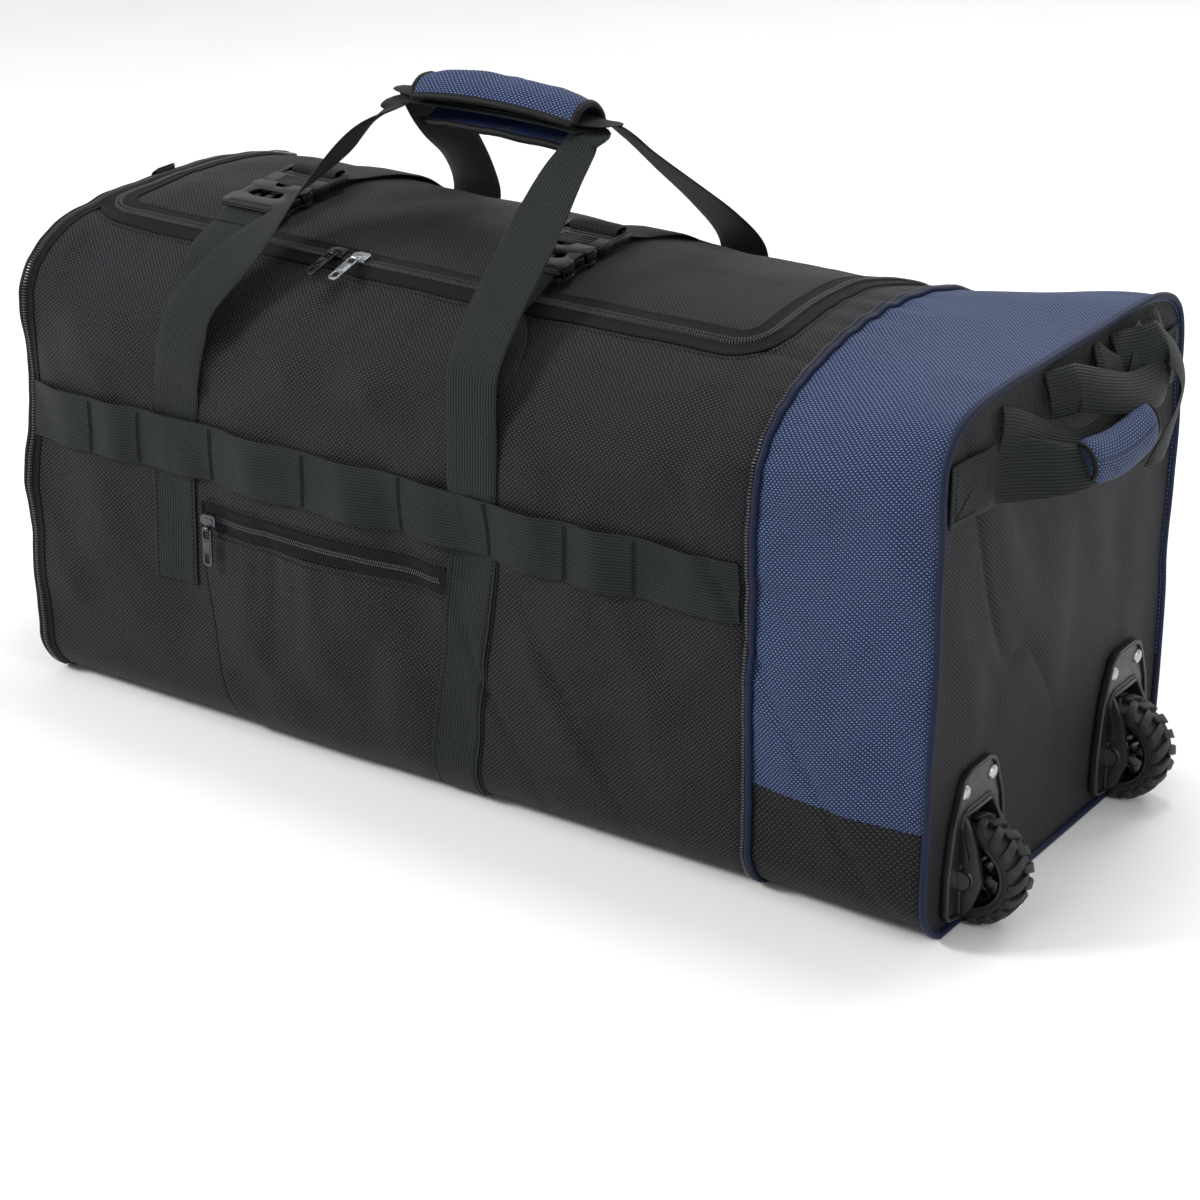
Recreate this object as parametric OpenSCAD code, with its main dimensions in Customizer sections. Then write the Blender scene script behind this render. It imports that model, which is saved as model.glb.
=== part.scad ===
/* [Bag size] */

// Length of the bag from the far end panel to the wheel end panel.
bag_l = 900; // [700:10:1000]
// Width of the bag across its base.
bag_w = 400; // [320:10:460]
// Height from the floor to the crown of the lid.
bag_h = 432; // [380:1:480]
// Radius of the long rounded edges and of the end panel corners.
edge_r = 45; // [30:1:60]
// Radius of the crowned top.
crown_r = 400; // [300:10:900]
// Thickness of the fabric with its foam and lining.
skin_t = 3; // [2:0.5:5]

/* [Storage compartment] */

// Where the zipper round the storage compartment starts, measured along the bag.
seam_x = 284; // [200:1:340]
// Height of the hard-wearing corner patches.
boot_h = 100; // [60:5:160]

/* [Lid and zippers] */

// Far end of the lid opening.
lid_x0 = -430; // [-440:1:-380]
// Wheel end of the lid opening.
lid_x1 = 238; // [180:1:260]
// Front edge of the lid opening.
lid_y0 = -105; // [-140:1:-80]
// Hinge line of the lid.
lid_y1 = 165; // [120:1:180]
// Width of each zipper tape beside the lid.
tape_w = 16; // [10:1:24]
// Width of each half of the zipper chain.
chain_w = 3; // [2:0.5:4]

/* [Webbing] */

// Width of the wide webbing.
web_w = 50; // [38:1:60]
// Thickness of the webbing.
web_t = 2.5; // [1.5:0.5:4]
// Centre of the far carry webbing along the bag.
web_x0 = -283; // [-320:1:-240]
// Centre of the near carry webbing along the bag.
web_x1 = 25; // [0:1:60]
// Bottom edge of the horizontal lashing webbing.
daisy_z = 233; // [180:1:280]

/* [Carry handle] */

// Height of the middle of the carry grip.
grip_z = 533; // [500:1:560]
// Middle of the carry grip along the bag.
grip_x = -75; // [-100:1:-50]
// Length of the carry grip.
grip_l = 150; // [110:5:170]
// Outer radius of the carry grip.
grip_r = 26; // [20:1:30]

/* [Wheels] */

// Wheel radius over the tread.
wheel_r = 44; // [35:1:50]
// Width of the tyre.
wheel_w = 34; // [26:1:40]
// Axle position along the bag.
axle_x = 456; // [448:1:464]
// Distance of each wheel from the middle of the bag.
wheel_y = 128; // [110:1:140]
// Radius of the steel axle.
axle_r = 4; // [3:0.5:6]

/* [Hidden] */

$fn = 64;
half_l = bag_l / 2;
half_w = bag_w / 2;
eps = 1;
base_half = half_w - edge_r;
seam_zip_w = 5;
piping_w = 4;
band_x0 = seam_x + seam_zip_w + piping_w;
crown_z = bag_h - crown_r;
top_edge_z = surface_z(half_w - web_t);
hand_out = 44;
end_handle_z = 345;
far_drop = 20;
buckle_y = -36;
buckle_z = surface_z(buckle_y) + 8.5;
buckle_tilt = asin(-buckle_y / crown_r);
housing_wall = 4;
well_half = wheel_w / 2 + 3;
well_x = 402;
well_z = 98;
rivet_z = 117;
rivet_y = 22;
handle_pivot_y = half_w + 5.5;
handle_pivot_z = 376;
handle_run = norm([handle_pivot_y - 14, grip_z - 2 - handle_pivot_z]);
handle_rise = atan2(grip_z - 2 - handle_pivot_z, handle_pivot_y - 14);

// Height of the crowned top at a distance y from the middle.
function surface_z(y) = crown_z + sqrt(crown_r * crown_r - y * y);

// Extrudes a YZ drawing along the bag from xa to xb.
module along_x(xa, xb) {
    translate([xa, 0, 0])
        rotate([90, 0, 90])
            linear_extrude(xb - xa)
                children();
}

// Extrudes an XZ drawing across the bag from ya to yb.
module along_y(ya, yb) {
    translate([0, yb, 0])
        rotate([90, 0, 0])
            linear_extrude(yb - ya)
                children();
}

// A box given by its two opposite corners.
module block(a, b) {
    translate(a)
        cube(b - a);
}

// Straight sides with rounded lower corners, pulled in by g.
module lower_outline(g) {
    translate([-half_w + g, edge_r])
        square([bag_w - 2 * g, bag_h]);
    translate([-base_half, g])
        square([2 * base_half, bag_h]);
    translate([-base_half, edge_r])
        circle(r = edge_r - g);
    translate([base_half, edge_r])
        circle(r = edge_r - g);
}

// Cross section of the body, pulled in by g.
module body_outline(g) {
    intersection() {
        lower_outline(g);
        translate([0, crown_z])
            circle(r = crown_r - g, $fn = 240);
    }
}

// Outline of the wheel end, pulled in by g.
module end_outline(g) {
    intersection() {
        lower_outline(g);
        union() {
            translate([-half_w + g, -10])
                square([bag_w - 2 * g, bag_h - edge_r + 10]);
            translate([-base_half, -10])
                square([2 * base_half, bag_h - g + 10]);
            translate([-base_half, bag_h - edge_r])
                circle(r = edge_r - g);
            translate([base_half, bag_h - edge_r])
                circle(r = edge_r - g);
        }
    }
}

// A layer of the body between two depths, g0 outside and g1 inside.
module body_layer(g0, g1) {
    difference() {
        body_outline(g0);
        body_outline(g1);
    }
}

// A trim ring standing g proud of the body or end outline, open over the flat base.
module rim_ring(g, depth) {
    difference() {
        intersection() {
            children(0);
            translate([-half_w - 10, 0])
                square([bag_w + 20, bag_h + 20]);
        }
        children(1);
        translate([-base_half, -eps])
            square([2 * base_half, skin_t + 2 * eps]);
    }
}

// The layer of the top between g0 and g1, between y0 and y1.
module top_strip(g0, g1, y0, y1) {
    intersection() {
        body_layer(g0, g1);
        translate([y0, bag_h / 2])
            square([y1 - y0, bag_h]);
    }
}

// Room cut through fabric and boards for one wheel housing.
module well_cut() {
    for (side = [-1, 1])
        block([well_x - 0.3, side * wheel_y - well_half - housing_wall - 0.3, -eps],
              [half_l + 60, side * wheel_y + well_half + housing_wall + 0.3, well_z + 0.3]);
}

// Holes for the housing rivets.
module rivet_holes(r) {
    for (side = [-1, 1])
        for (step = [-1, 1])
            translate([430, side * wheel_y + step * rivet_y, rivet_z])
                rotate([0, 90, 0])
                    cylinder(r = r, h = 40);
}

module front_panel() {
    color("#2b2a2e")
        along_x(-half_l + skin_t, seam_x)
            intersection() {
                body_layer(0, skin_t);
                union() {
                    translate([-half_w - eps, -eps])
                        square([edge_r + eps, bag_h]);
                    translate([-half_w - eps, bag_h / 2])
                        square([half_w + lid_y0 + eps - 0.3, bag_h]);
                }
            }
}

module rear_panel() {
    color("#2b2a2e")
        along_x(-half_l + skin_t, seam_x)
            intersection() {
                body_layer(0, skin_t);
                union() {
                    translate([base_half, -eps])
                        square([edge_r + eps, bag_h / 2 + 2 * eps]);
                    translate([lid_y1, bag_h / 2])
                        square([half_w - lid_y1 + eps, bag_h]);
                }
            }
}

module base_panel() {
    color("#242428")
        difference() {
            block([-half_l + skin_t, -base_half, 0], [half_l - skin_t, base_half, skin_t]);
            well_cut();
        }
}

module far_end_panel() {
    color("#2b2a2e")
        along_x(-half_l, -half_l + skin_t)
            body_outline(0);
}

module top_end_strips() {
    color("#2b2a2e") {
        along_x(-half_l + skin_t, lid_x0 - 0.3)
            top_strip(0, skin_t, lid_y0 - 0.3, lid_y1);
        along_x(lid_x1 + 0.3, seam_x)
            top_strip(0, skin_t, lid_y0 - 0.3, lid_y1);
    }
}

module base_boards() {
    color("#1c1c1e") {
        block([-half_l + 10, -base_half + 5, skin_t], [seam_x - 6, base_half - 5, skin_t + 3]);
        block([band_x0 + 4, -base_half + 5, skin_t], [well_x - 6, base_half - 5, skin_t + 3]);
    }
}

// Points across the top from side to side, pulled in by g, that both ends of the band share.
function band_ys(g) = concat(
    [for (a = [0:9:90]) -base_half - (edge_r - g) * cos(a)],
    [for (i = [1:9]) -base_half + base_half * i / 5],
    [for (a = [90:-9:0]) base_half + (edge_r - g) * cos(a)]
);

// Height of the wheel end outline at y, pulled in by g.
function end_z(y, g) =
    bag_h - edge_r + sqrt(max(0, pow(edge_r - g, 2) - pow(max(0, abs(y) - base_half), 2)));

// One arch of the band at x, from patch to patch; part is 0 at the body and 1 at the wheel end.
function band_arch(x, part, g) = concat(
    [[x, -half_w + g, boot_h]],
    [for (y = band_ys(g)) [x, y, part == 0 ? surface_z(y) - g : end_z(y, g)]],
    [[x, half_w - g, boot_h]]
);

module compartment_band() {
    n = len(band_ys(0)) + 2;
    color("#344e87")
        polyhedron(
            points = concat(
                band_arch(band_x0, 0, 0), band_arch(half_l - skin_t, 1, 0),
                band_arch(band_x0, 0, skin_t), band_arch(half_l - skin_t, 1, skin_t)
            ),
            faces = concat(
                [for (i = [0:n - 2]) [i, n + i, i + 1]],
                [for (i = [0:n - 2]) [i + 1, n + i, n + i + 1]],
                [for (i = [0:n - 2]) [2 * n + i, 2 * n + i + 1, 3 * n + i]],
                [for (i = [0:n - 2]) [2 * n + i + 1, 3 * n + i + 1, 3 * n + i]],
                [for (i = [0:n - 2]) [i, i + 1, 2 * n + i + 1]],
                [for (i = [0:n - 2]) [i, 2 * n + i + 1, 2 * n + i]],
                [for (i = [0:n - 2]) [n + i, 3 * n + i + 1, n + i + 1]],
                [for (i = [0:n - 2]) [n + i, 3 * n + i, 3 * n + i + 1]],
                [[0, 2 * n, n], [n, 2 * n, 3 * n]],
                [[n - 1, 2 * n - 1, 3 * n - 1], [2 * n - 1, 4 * n - 1, 3 * n - 1]]
            )
        );
}

module corner_boots() {
    color("#1d1d20")
        along_x(band_x0, half_l - skin_t)
            for (side = [0, 1])
                mirror([side, 0])
                    intersection() {
                        body_layer(0, skin_t);
                        translate([base_half, -eps])
                            square([edge_r + eps, boot_h + eps]);
                    }
}

module wheel_end_panel() {
    color("#2b2a2e")
        difference() {
            along_x(half_l - skin_t, half_l)
                end_outline(0);
            well_cut();
            rivet_holes(2.6);
            for (side = [-1, 1])
                translate([axle_x, side * wheel_y, wheel_r])
                    axle_heads(7.8, 3.5);
        }
}

module wheel_end_board() {
    color("#1c1c1e")
        difference() {
            block([half_l - skin_t - 5, -half_w + 22, skin_t + 9],
                  [half_l - skin_t, half_w - 22, bag_h - 28]);
            well_cut();
            rivet_holes(2.6);
        }
}

module wheel_end_piping() {
    color("#2f5283")
        along_x(half_l - 5, half_l + 1)
            rim_ring() {
                end_outline(-3);
                end_outline(0);
            }
}

module seam_piping() {
    color("#2f5283")
        along_x(seam_x + seam_zip_w, band_x0)
            rim_ring() {
                body_outline(-3);
                body_outline(skin_t);
            }
}

module seam_zipper() {
    color("#151517")
        along_x(seam_x, seam_x + seam_zip_w)
            rim_ring() {
                body_outline(-1.5);
                body_outline(skin_t);
            }
}

module far_rim_zipper() {
    color("#151517")
        along_x(-half_l - 1, lid_x0 - tape_w - 0.3)
            rim_ring() {
                body_outline(-3);
                body_outline(0);
            }
}

module main_zip_body_side() {
    color("#161618") {
        difference() {
            along_x(lid_x0 - tape_w, lid_x1 + tape_w)
                top_strip(-1.2, 0, lid_y0 - tape_w, lid_y1);
            block([lid_x0 - 0.3, lid_y0 - 0.3, 0], [lid_x1 + 0.3, bag_w, bag_h + 20]);
        }
        difference() {
            along_x(lid_x0 - chain_w, lid_x1 + chain_w)
                top_strip(-3.2, -1.2, lid_y0 - chain_w, lid_y1);
            block([lid_x0 - 0.3, lid_y0 - 0.3, 0], [lid_x1 + 0.3, bag_w, bag_h + 20]);
        }
    }
}

module side_webbings() {
    color("#23282a")
        for (x = [web_x0, web_x1])
            for (side = [0, 1])
                mirror([0, side, 0])
                    block([x - web_w / 2, half_w, edge_r], [x + web_w / 2, half_w + web_t, top_edge_z - 5]);
}

module daisy_chains() {
    color("#23282a")
        for (side = [0, 1])
            mirror([0, side, 0])
                block([-half_l + 8, half_w + web_t, daisy_z],
                      [seam_x - 6, half_w + web_t + 3, daisy_z + web_w]);
}

module front_pocket_panel() {
    color("#2b2a2e")
        block([web_x0 + web_w / 2, -half_w - 1.5, edge_r], [web_x1 - web_w / 2, -half_w, 188]);
}

module front_pocket_zipper() {
    color("#161618") {
        block([web_x0 + web_w / 2 + 1, -half_w - 1.5, 188.3], [web_x1 - web_w / 2 - 1, -half_w, 212]);
        block([web_x0 + web_w / 2 + 4, -half_w - 3.3, 197], [web_x1 - web_w / 2 - 4, -half_w - 1.5, 203]);
    }
}

module buckle_tabs() {
    color("#23282a")
        for (x = [web_x0, web_x1 - 15])
            along_x(x - web_w / 2, x + web_w / 2)
                top_strip(-3.7, -1.2, lid_y0 - 40, lid_y0 - 11);
}

// End handle webbing seen from above, on the wheel end.
module end_handle_plan(out) {
    polygon([
        [half_l, -190], [half_l, -118], [half_l + out - web_t, -62], [half_l + out - web_t, 62],
        [half_l, 118], [half_l, 190], [half_l + web_t, 190], [half_l + web_t, 119],
        [half_l + out, 63], [half_l + out, -63], [half_l + web_t, -119], [half_l + web_t, -190]
    ]);
}

module end_handle() {
    difference() {
        translate([0, 0, end_handle_z])
            linear_extrude(web_w)
                end_handle_plan(hand_out + web_t);
        for (z = [end_handle_z - 1, end_handle_z + web_w - 11])
            block([half_l + 20, -58, z], [half_l + 60, 58, z + 12]);
    }
}

module end_grip() {
    difference() {
        along_y(-56, 56)
            translate([half_l + hand_out + web_t / 2, end_handle_z + web_w / 2])
                circle(r = 17);
        block([half_l + hand_out - 0.2, -60, end_handle_z + 10.8],
              [half_l + hand_out + web_t + 0.2, 60, end_handle_z + web_w - 10.8]);
    }
}

module wheel_end_handle() {
    color("#23282a")
        end_handle();
}

module wheel_end_grip() {
    color("#344e87")
        end_grip();
}

module far_end_handle() {
    color("#23282a")
        translate([0, 0, -far_drop])
            mirror([1, 0, 0])
                end_handle();
}

module far_end_grip() {
    color("#344e87")
        translate([0, 0, -far_drop])
            mirror([1, 0, 0])
                end_grip();
}

module d_ring_tab() {
    color("#23282a")
        difference() {
            block([-half_l - 9, -12, 405], [-half_l, 12, 424]);
            block([-half_l - 9.1 + web_t, -13, 408], [-half_l - web_t, 13, 416]);
        }
}

module d_ring() {
    color("#1b1b1d") {
        translate([-half_l - 4.5, -17, 412])
            rotate([-90, 0, 0])
                cylinder(r = 1.8, h = 34, $fn = 32);
        translate([-half_l - 4.5, 0, 412])
            rotate([-90, 0, 90])
                rotate_extrude(angle = 180, $fn = 64)
                    translate([17, 0])
                        circle(r = 1.8, $fn = 32);
    }
}

module mesh_pocket() {
    color("#17171a")
        block([-half_l - 2, -165, 60], [-half_l, 165, 258]);
}

module mesh_pocket_zipper() {
    color("#161618") {
        block([-half_l - 1.5, -168, 258.3], [-half_l, 168, 282]);
        block([-half_l - 3.3, -164, 267], [-half_l - 1.5, 164, 273]);
    }
}

// Heads of one axle outside its housing, of radius r and thickness t.
module axle_heads(r, t) {
    rotate([-90, 0, 0])
        for (side = [-1, 1])
            translate([0, 0, side * (well_half + housing_wall + 0.2 + t / 2)])
                cylinder(r = r, h = t, center = true);
}

// Side wall of a wheel housing.
module cheek_outline() {
    polygon([
        [well_x, skin_t], [half_l - 6, skin_t], [axle_x + 14, wheel_r - 12], [axle_x + 16, wheel_r + 8],
        [half_l + 8, well_z], [well_x, well_z]
    ]);
}

module housing_plate() {
    along_x(half_l, half_l + 4)
        union() {
            translate([wheel_y - 46, 46])
                square([92, 70]);
            translate([wheel_y - 28, 46])
                square([56, 88]);
            for (step = [-1, 1])
                translate([wheel_y + step * 28, 116])
                    circle(r = 18);
        }
}

module wheel_housing() {
    difference() {
        union() {
            housing_plate();
            along_y(wheel_y - well_half - housing_wall, wheel_y + well_half + housing_wall)
                cheek_outline();
        }
        block([well_x + housing_wall, wheel_y - well_half, -eps],
              [half_l + 80, wheel_y + well_half, well_z - housing_wall]);
        translate([axle_x, wheel_y - 40, wheel_r])
            rotate([-90, 0, 0])
                cylinder(r = axle_r + 0.02, h = 80);
        translate([axle_x, wheel_y, wheel_r])
            axle_heads(7.8, 3.5);
        rivet_holes(2.6);
    }
}

module wheel_housings() {
    color("#19191b")
        for (side = [0, 1])
            mirror([0, side, 0])
                wheel_housing();
}

module housing_rivets() {
    color("#c9ccd1")
        for (side = [-1, 1])
            for (step = [-1, 1])
                translate([0, side * wheel_y + step * rivet_y, rivet_z])
                    rotate([0, 90, 0]) {
                        translate([0, 0, half_l - skin_t - 7])
                            cylinder(r = 2.6, h = 14.5);
                        translate([0, 0, half_l + 4])
                            cylinder(r = 6, h = 2.2);
                        translate([0, 0, half_l - skin_t - 6.8])
                            cylinder(r = 7.5, h = 1.8);
                    }
}

module wheel_axles() {
    color("#8d9095")
        for (side = [-1, 1])
            translate([axle_x, side * wheel_y, wheel_r]) {
                rotate([-90, 0, 0])
                    cylinder(r = axle_r, h = 2 * (well_half + housing_wall + 2), center = true);
                axle_heads(7.5, 3);
            }
}

module lid_panel() {
    color("#2b2a2e")
        along_x(lid_x0 + 0.3, lid_x1 - 0.3)
            top_strip(0, skin_t, lid_y0 + 0.3, lid_y1 - 0.4);
}

module main_zip_lid_side() {
    color("#161618") {
        difference() {
            along_x(lid_x0 + 0.3, lid_x1 - 0.3)
                top_strip(-1.2, 0, lid_y0 + 0.3, lid_y1 - 7);
            block([lid_x0 + tape_w, lid_y0 + tape_w, 0], [lid_x1 - tape_w, bag_w, bag_h + 20]);
        }
        difference() {
            along_x(lid_x0 + 0.3, lid_x1 - 0.3)
                top_strip(-3.2, -1.2, lid_y0 + 0.3, lid_y1 - 7);
            block([lid_x0 + chain_w, lid_y0 + chain_w, 0], [lid_x1 - chain_w, bag_w, bag_h + 20]);
        }
    }
}

// Moves a buckle drawn round its own middle to its place on the lid.
module on_buckle(x) {
    translate([x, buckle_y, buckle_z])
        rotate([buckle_tilt, 0, 0])
            children();
}

// Webbing looped round the end bar of a plug, drawn in the buckle's own frame.
module plug_loop() {
    difference() {
        block([-web_w / 2, 37.5, -7.6], [web_w / 2, 54, 7.6]);
        block([-web_w, 40, -5.1], [web_w, 51.3, 5.1]);
    }
}

module lid_straps() {
    color("#23282a")
        for (x = [web_x0, web_x1 - 15]) {
            along_x(x - web_w / 2, x + web_w / 2)
                top_strip(-2.8, -0.3, 60, lid_y1 - 7);
            along_x(x - web_w / 2 + 0.5, x + web_w / 2 - 0.5)
                polygon([
                    [48, buckle_z - 9.5], [64, surface_z(64) + 0.8], [64, surface_z(64) + 2.3],
                    [44, buckle_z - 5.9], [16, buckle_z - 1.2], [13, buckle_z - 2.6]
                ]);
            on_buckle(x)
                plug_loop();
            on_buckle(x)
                block([-web_w / 2, -60, -1.2], [web_w / 2, -47.2, 1.2]);
        }
}

module buckle_socket() {
    difference() {
        block([-30, -53, -6.5], [30, 2, 6.5]);
        block([-24, -40, -4], [24, 3, 4]);
        for (side = [-1, 1])
            block([side * 27 - 6, -30, -4.5], [side * 27 + 6, -12, 4.5]);
        block([-26, -49.5, -7], [26, -45, 7]);
        block([-25.3, -54, -1.5], [25.3, -45, 1.5]);
    }
    block([-26, -49.5, 3.4], [26, -45, 6.5]);
}

module buckle_sockets() {
    color("#141416")
        for (x = [web_x0, web_x1 - 15])
            on_buckle(x)
                buckle_socket();
}

module buckle_plug() {
    difference() {
        block([-30, 3, -5], [30, 51, 5]);
        block([-26, 26, -6], [26, 30, 6]);
        block([-26, 36, -6], [26, 44, 6]);
    }
    block([-4, -37, -3.4], [4, 4, 3.4]);
}

module buckle_plugs() {
    color("#141416")
        for (x = [web_x0, web_x1 - 15])
            on_buckle(x)
                buckle_plug();
}

// Sprung arm of a buckle on its positive side.
module buckle_prong() {
    linear_extrude(7, center = true)
        polygon([[10, 2.6], [10, -22], [14, -29.6], [22, -29.6],
                 [27.5, -17], [27.5, -13], [16, -13], [15, 2.6]]);
}

module left_prong_near() {
    color("#141416")
        on_buckle(web_x0)
            buckle_prong();
}

module left_prong_far() {
    color("#141416")
        on_buckle(web_x0)
            mirror([1, 0, 0])
                buckle_prong();
}

module right_prong_near() {
    color("#141416")
        on_buckle(web_x1 - 15)
            buckle_prong();
}

module right_prong_far() {
    color("#141416")
        on_buckle(web_x1 - 15)
            mirror([1, 0, 0])
                buckle_prong();
}

// A slider running along X over a chain at its origin, with a bail for the pull.
module slider_body() {
    difference() {
        block([-8, -5.4, 0.4], [8, 5.4, 5.4]);
        block([-9, -3.9, 0], [9, 3.9, 3]);
    }
    difference() {
        block([-3, -9.2, 4.2], [3, -5.4, 8.6]);
        translate([-4, -7.2, 6.4])
            rotate([0, 90, 0])
                cylinder(r = 1.15, h = 8, $fn = 32);
    }
}

// A pull hanging towards -Y from a pin through the bail at its origin.
module pull_body() {
    translate([-4.6, 0, 0])
        rotate([0, 90, 0])
            cylinder(r = 1.05, h = 9.2, $fn = 32);
    for (side = [-1, 1])
        translate([side * 4.1 - 0.7, -8, -1])
            cube([1.4, 8.5, 2]);
    block([-4.8, -34, -1], [4.8, -7, 1]);
}

// Height and slope of the main zipper where the sliders run.
module on_main_zip(x) {
    translate([x, lid_y0, surface_z(lid_y0) + 1.3])
        rotate([asin(-lid_y0 / crown_r), 0, 0])
            children();
}

module main_slider_left() {
    color("#141416")
        on_main_zip(-172)
            slider_body();
}

module main_pull_left() {
    color("#141416")
        on_main_zip(-172)
            translate([0, -7.2, 6.4])
                pull_body();
}

module main_slider_right() {
    color("#c9ccd1")
        on_main_zip(-148)
            slider_body();
}

module main_pull_right() {
    color("#c9ccd1")
        on_main_zip(-148)
            translate([0, -7.2, 6.4])
                pull_body();
}

// A chain running along X on the front of the bag.
module on_front_pocket() {
    translate([web_x0 + web_w / 2 + 16, -half_w - 1.5, 200])
        rotate([90, 0, 0])
            children();
}

module front_pocket_slider() {
    color("#141416")
        on_front_pocket()
            slider_body();
}

module front_pocket_pull() {
    color("#141416")
        on_front_pocket()
            translate([0, -7.2, 6.4])
                pull_body();
}

// A chain running across the far end panel.
module on_mesh_pocket() {
    translate([-half_l - 1.5, -150, 270])
        rotate([90, 0, -90])
            children();
}

module mesh_pocket_slider() {
    color("#141416")
        on_mesh_pocket()
            slider_body();
}

module mesh_pocket_pull() {
    color("#141416")
        on_mesh_pocket()
            translate([0, -7.2, 6.4])
                pull_body();
}

module storage_slider() {
    color("#141416")
        difference() {
            block([seam_x - 2, half_w + 1.8, 142], [seam_x + seam_zip_w - 0.4, half_w + 7, 158]);
            translate([0, half_w + 4.6, 146])
                rotate([0, 90, 0])
                    cylinder(r = 1.15, h = 2 * half_l, center = true, $fn = 32);
        }
}

module storage_pull() {
    color("#141416") {
        translate([seam_x - 3.6, half_w + 4.6, 146])
            rotate([0, 90, 0])
                cylinder(r = 1.05, h = 9.8, $fn = 32);
        for (x = [seam_x - 3.8, seam_x + seam_zip_w + 0.1])
            block([x, half_w + 3.6, 136], [x + 1.4, half_w + 5.6, 147]);
        block([seam_x - 3.8, half_w + 3.6, 108], [seam_x + seam_zip_w + 1.5, half_w + 5.6, 137]);
    }
}

// One sloping leg of a carry loop, from the front edge of the bag up to the grip.
module handle_leg(x_low, x_high) {
    translate([x_low, -handle_pivot_y, handle_pivot_z])
        rotate([handle_rise, 0, 0])
            intersection() {
                rotate([0, 0, -atan2(x_high - x_low, handle_run)])
                    block([-web_w / 2, -20, 0], [web_w / 2, 2 * handle_run, web_t]);
                block([-half_l, 2, -eps], [half_l, handle_run + 4, web_t + eps]);
            }
}

module handle_loop(z, reach) {
    x_far = grip_x - grip_l / 2 - 29;
    x_near = grip_x + grip_l / 2 + 29;
    handle_leg(web_x0, x_far);
    handle_leg(web_x1, x_near);
    block([x_far - 22, -19, z], [x_near + 22, reach, z + web_t]);
}

module front_handle_loop() {
    color("#23282a")
        handle_loop(grip_z - 2.2, 8);
}

module rear_handle_loop() {
    color("#23282a")
        translate([0, 0, 3.4])
            mirror([0, 1, 0])
                handle_loop(grip_z - 2.2, 8);
}

module grip_wrap() {
    color("#344e87")
        difference() {
            along_x(grip_x - grip_l / 2, grip_x + grip_l / 2)
                translate([0, grip_z])
                    circle(r = grip_r);
            along_x(grip_x - grip_l / 2 - 1, grip_x + grip_l / 2 + 1)
                translate([0, grip_z])
                    circle(r = grip_r - 4);
            block([grip_x - grip_l, -40, grip_z - 16], [grip_x + grip_l, -2, grip_z + 18]);
        }
}

module tow_strap() {
    color("#23282a") {
        block([half_l + 2, -60, 402], [half_l + 5, 120, 427]);
        block([half_l + 8, -60, 402], [half_l + 11, 126, 427]);
        block([half_l + 14, -54, 402], [half_l + 17, 126, 427]);
        block([half_l + 2, -63, 402], [half_l + 11, -60, 427]);
        block([half_l + 8, 126, 402], [half_l + 17, 129, 427]);
    }
}

module tyre() {
    rotate([-90, 0, 0])
        rotate_extrude($fn = 96)
            polygon([
                [30, -wheel_w / 2 + 1], [38, -wheel_w / 2], [wheel_r, -wheel_w / 2 + 5],
                [wheel_r, wheel_w / 2 - 5], [38, wheel_w / 2], [30, wheel_w / 2 - 1]
            ]);
}

module hub() {
    rotate([-90, 0, 0])
        difference() {
            union() {
                difference() {
                    cylinder(r = 29.98, h = 28, center = true);
                    cylinder(r = 25, h = 30, center = true);
                }
                cylinder(r = 11, h = 30, center = true);
                for (a = [0:60:300])
                    rotate([0, 0, a])
                        translate([9, -2.5, -11])
                            cube([18, 5, 22]);
            }
            cylinder(r = 7, h = 40, center = true);
        }
}

module bush() {
    rotate([-90, 0, 0])
        difference() {
            cylinder(r = 7, h = 33, center = true);
            cylinder(r = axle_r + 0.06, h = 40, center = true);
        }
}

module front_tyre() {
    color("#1a1a1a")
        translate([axle_x, -wheel_y, wheel_r])
            tyre();
}

module front_hub() {
    color("#202022")
        translate([axle_x, -wheel_y, wheel_r])
            hub();
}

module front_bush() {
    color("#3a3a3c")
        translate([axle_x, -wheel_y, wheel_r])
            bush();
}

module rear_tyre() {
    color("#1a1a1a")
        translate([axle_x, wheel_y, wheel_r])
            tyre();
}

module rear_hub() {
    color("#202022")
        translate([axle_x, wheel_y, wheel_r])
            hub();
}

module rear_bush() {
    color("#3a3a3c")
        translate([axle_x, wheel_y, wheel_r])
            bush();
}

front_panel();
rear_panel();
base_panel();
far_end_panel();
top_end_strips();
base_boards();
compartment_band();
corner_boots();
wheel_end_panel();
wheel_end_board();
wheel_end_piping();
seam_piping();
seam_zipper();
far_rim_zipper();
main_zip_body_side();
side_webbings();
daisy_chains();
front_pocket_panel();
front_pocket_zipper();
buckle_tabs();
wheel_end_handle();
wheel_end_grip();
far_end_handle();
far_end_grip();
d_ring_tab();
mesh_pocket();
mesh_pocket_zipper();
wheel_housings();
housing_rivets();
wheel_axles();
lid_panel();
main_zip_lid_side();
lid_straps();
buckle_sockets();
buckle_plugs();
left_prong_near();
left_prong_far();
right_prong_near();
right_prong_far();
main_slider_left();
main_pull_left();
main_slider_right();
main_pull_right();
front_pocket_slider();
front_pocket_pull();
mesh_pocket_slider();
mesh_pocket_pull();
storage_slider();
storage_pull();
front_handle_loop();
rear_handle_loop();
grip_wrap();
tow_strap();
d_ring();
front_tyre();
front_hub();
front_bush();
rear_tyre();
rear_hub();
rear_bush();
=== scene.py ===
import math

import bmesh
import bpy
import numpy as np
from mathutils import Matrix, Vector


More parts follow.
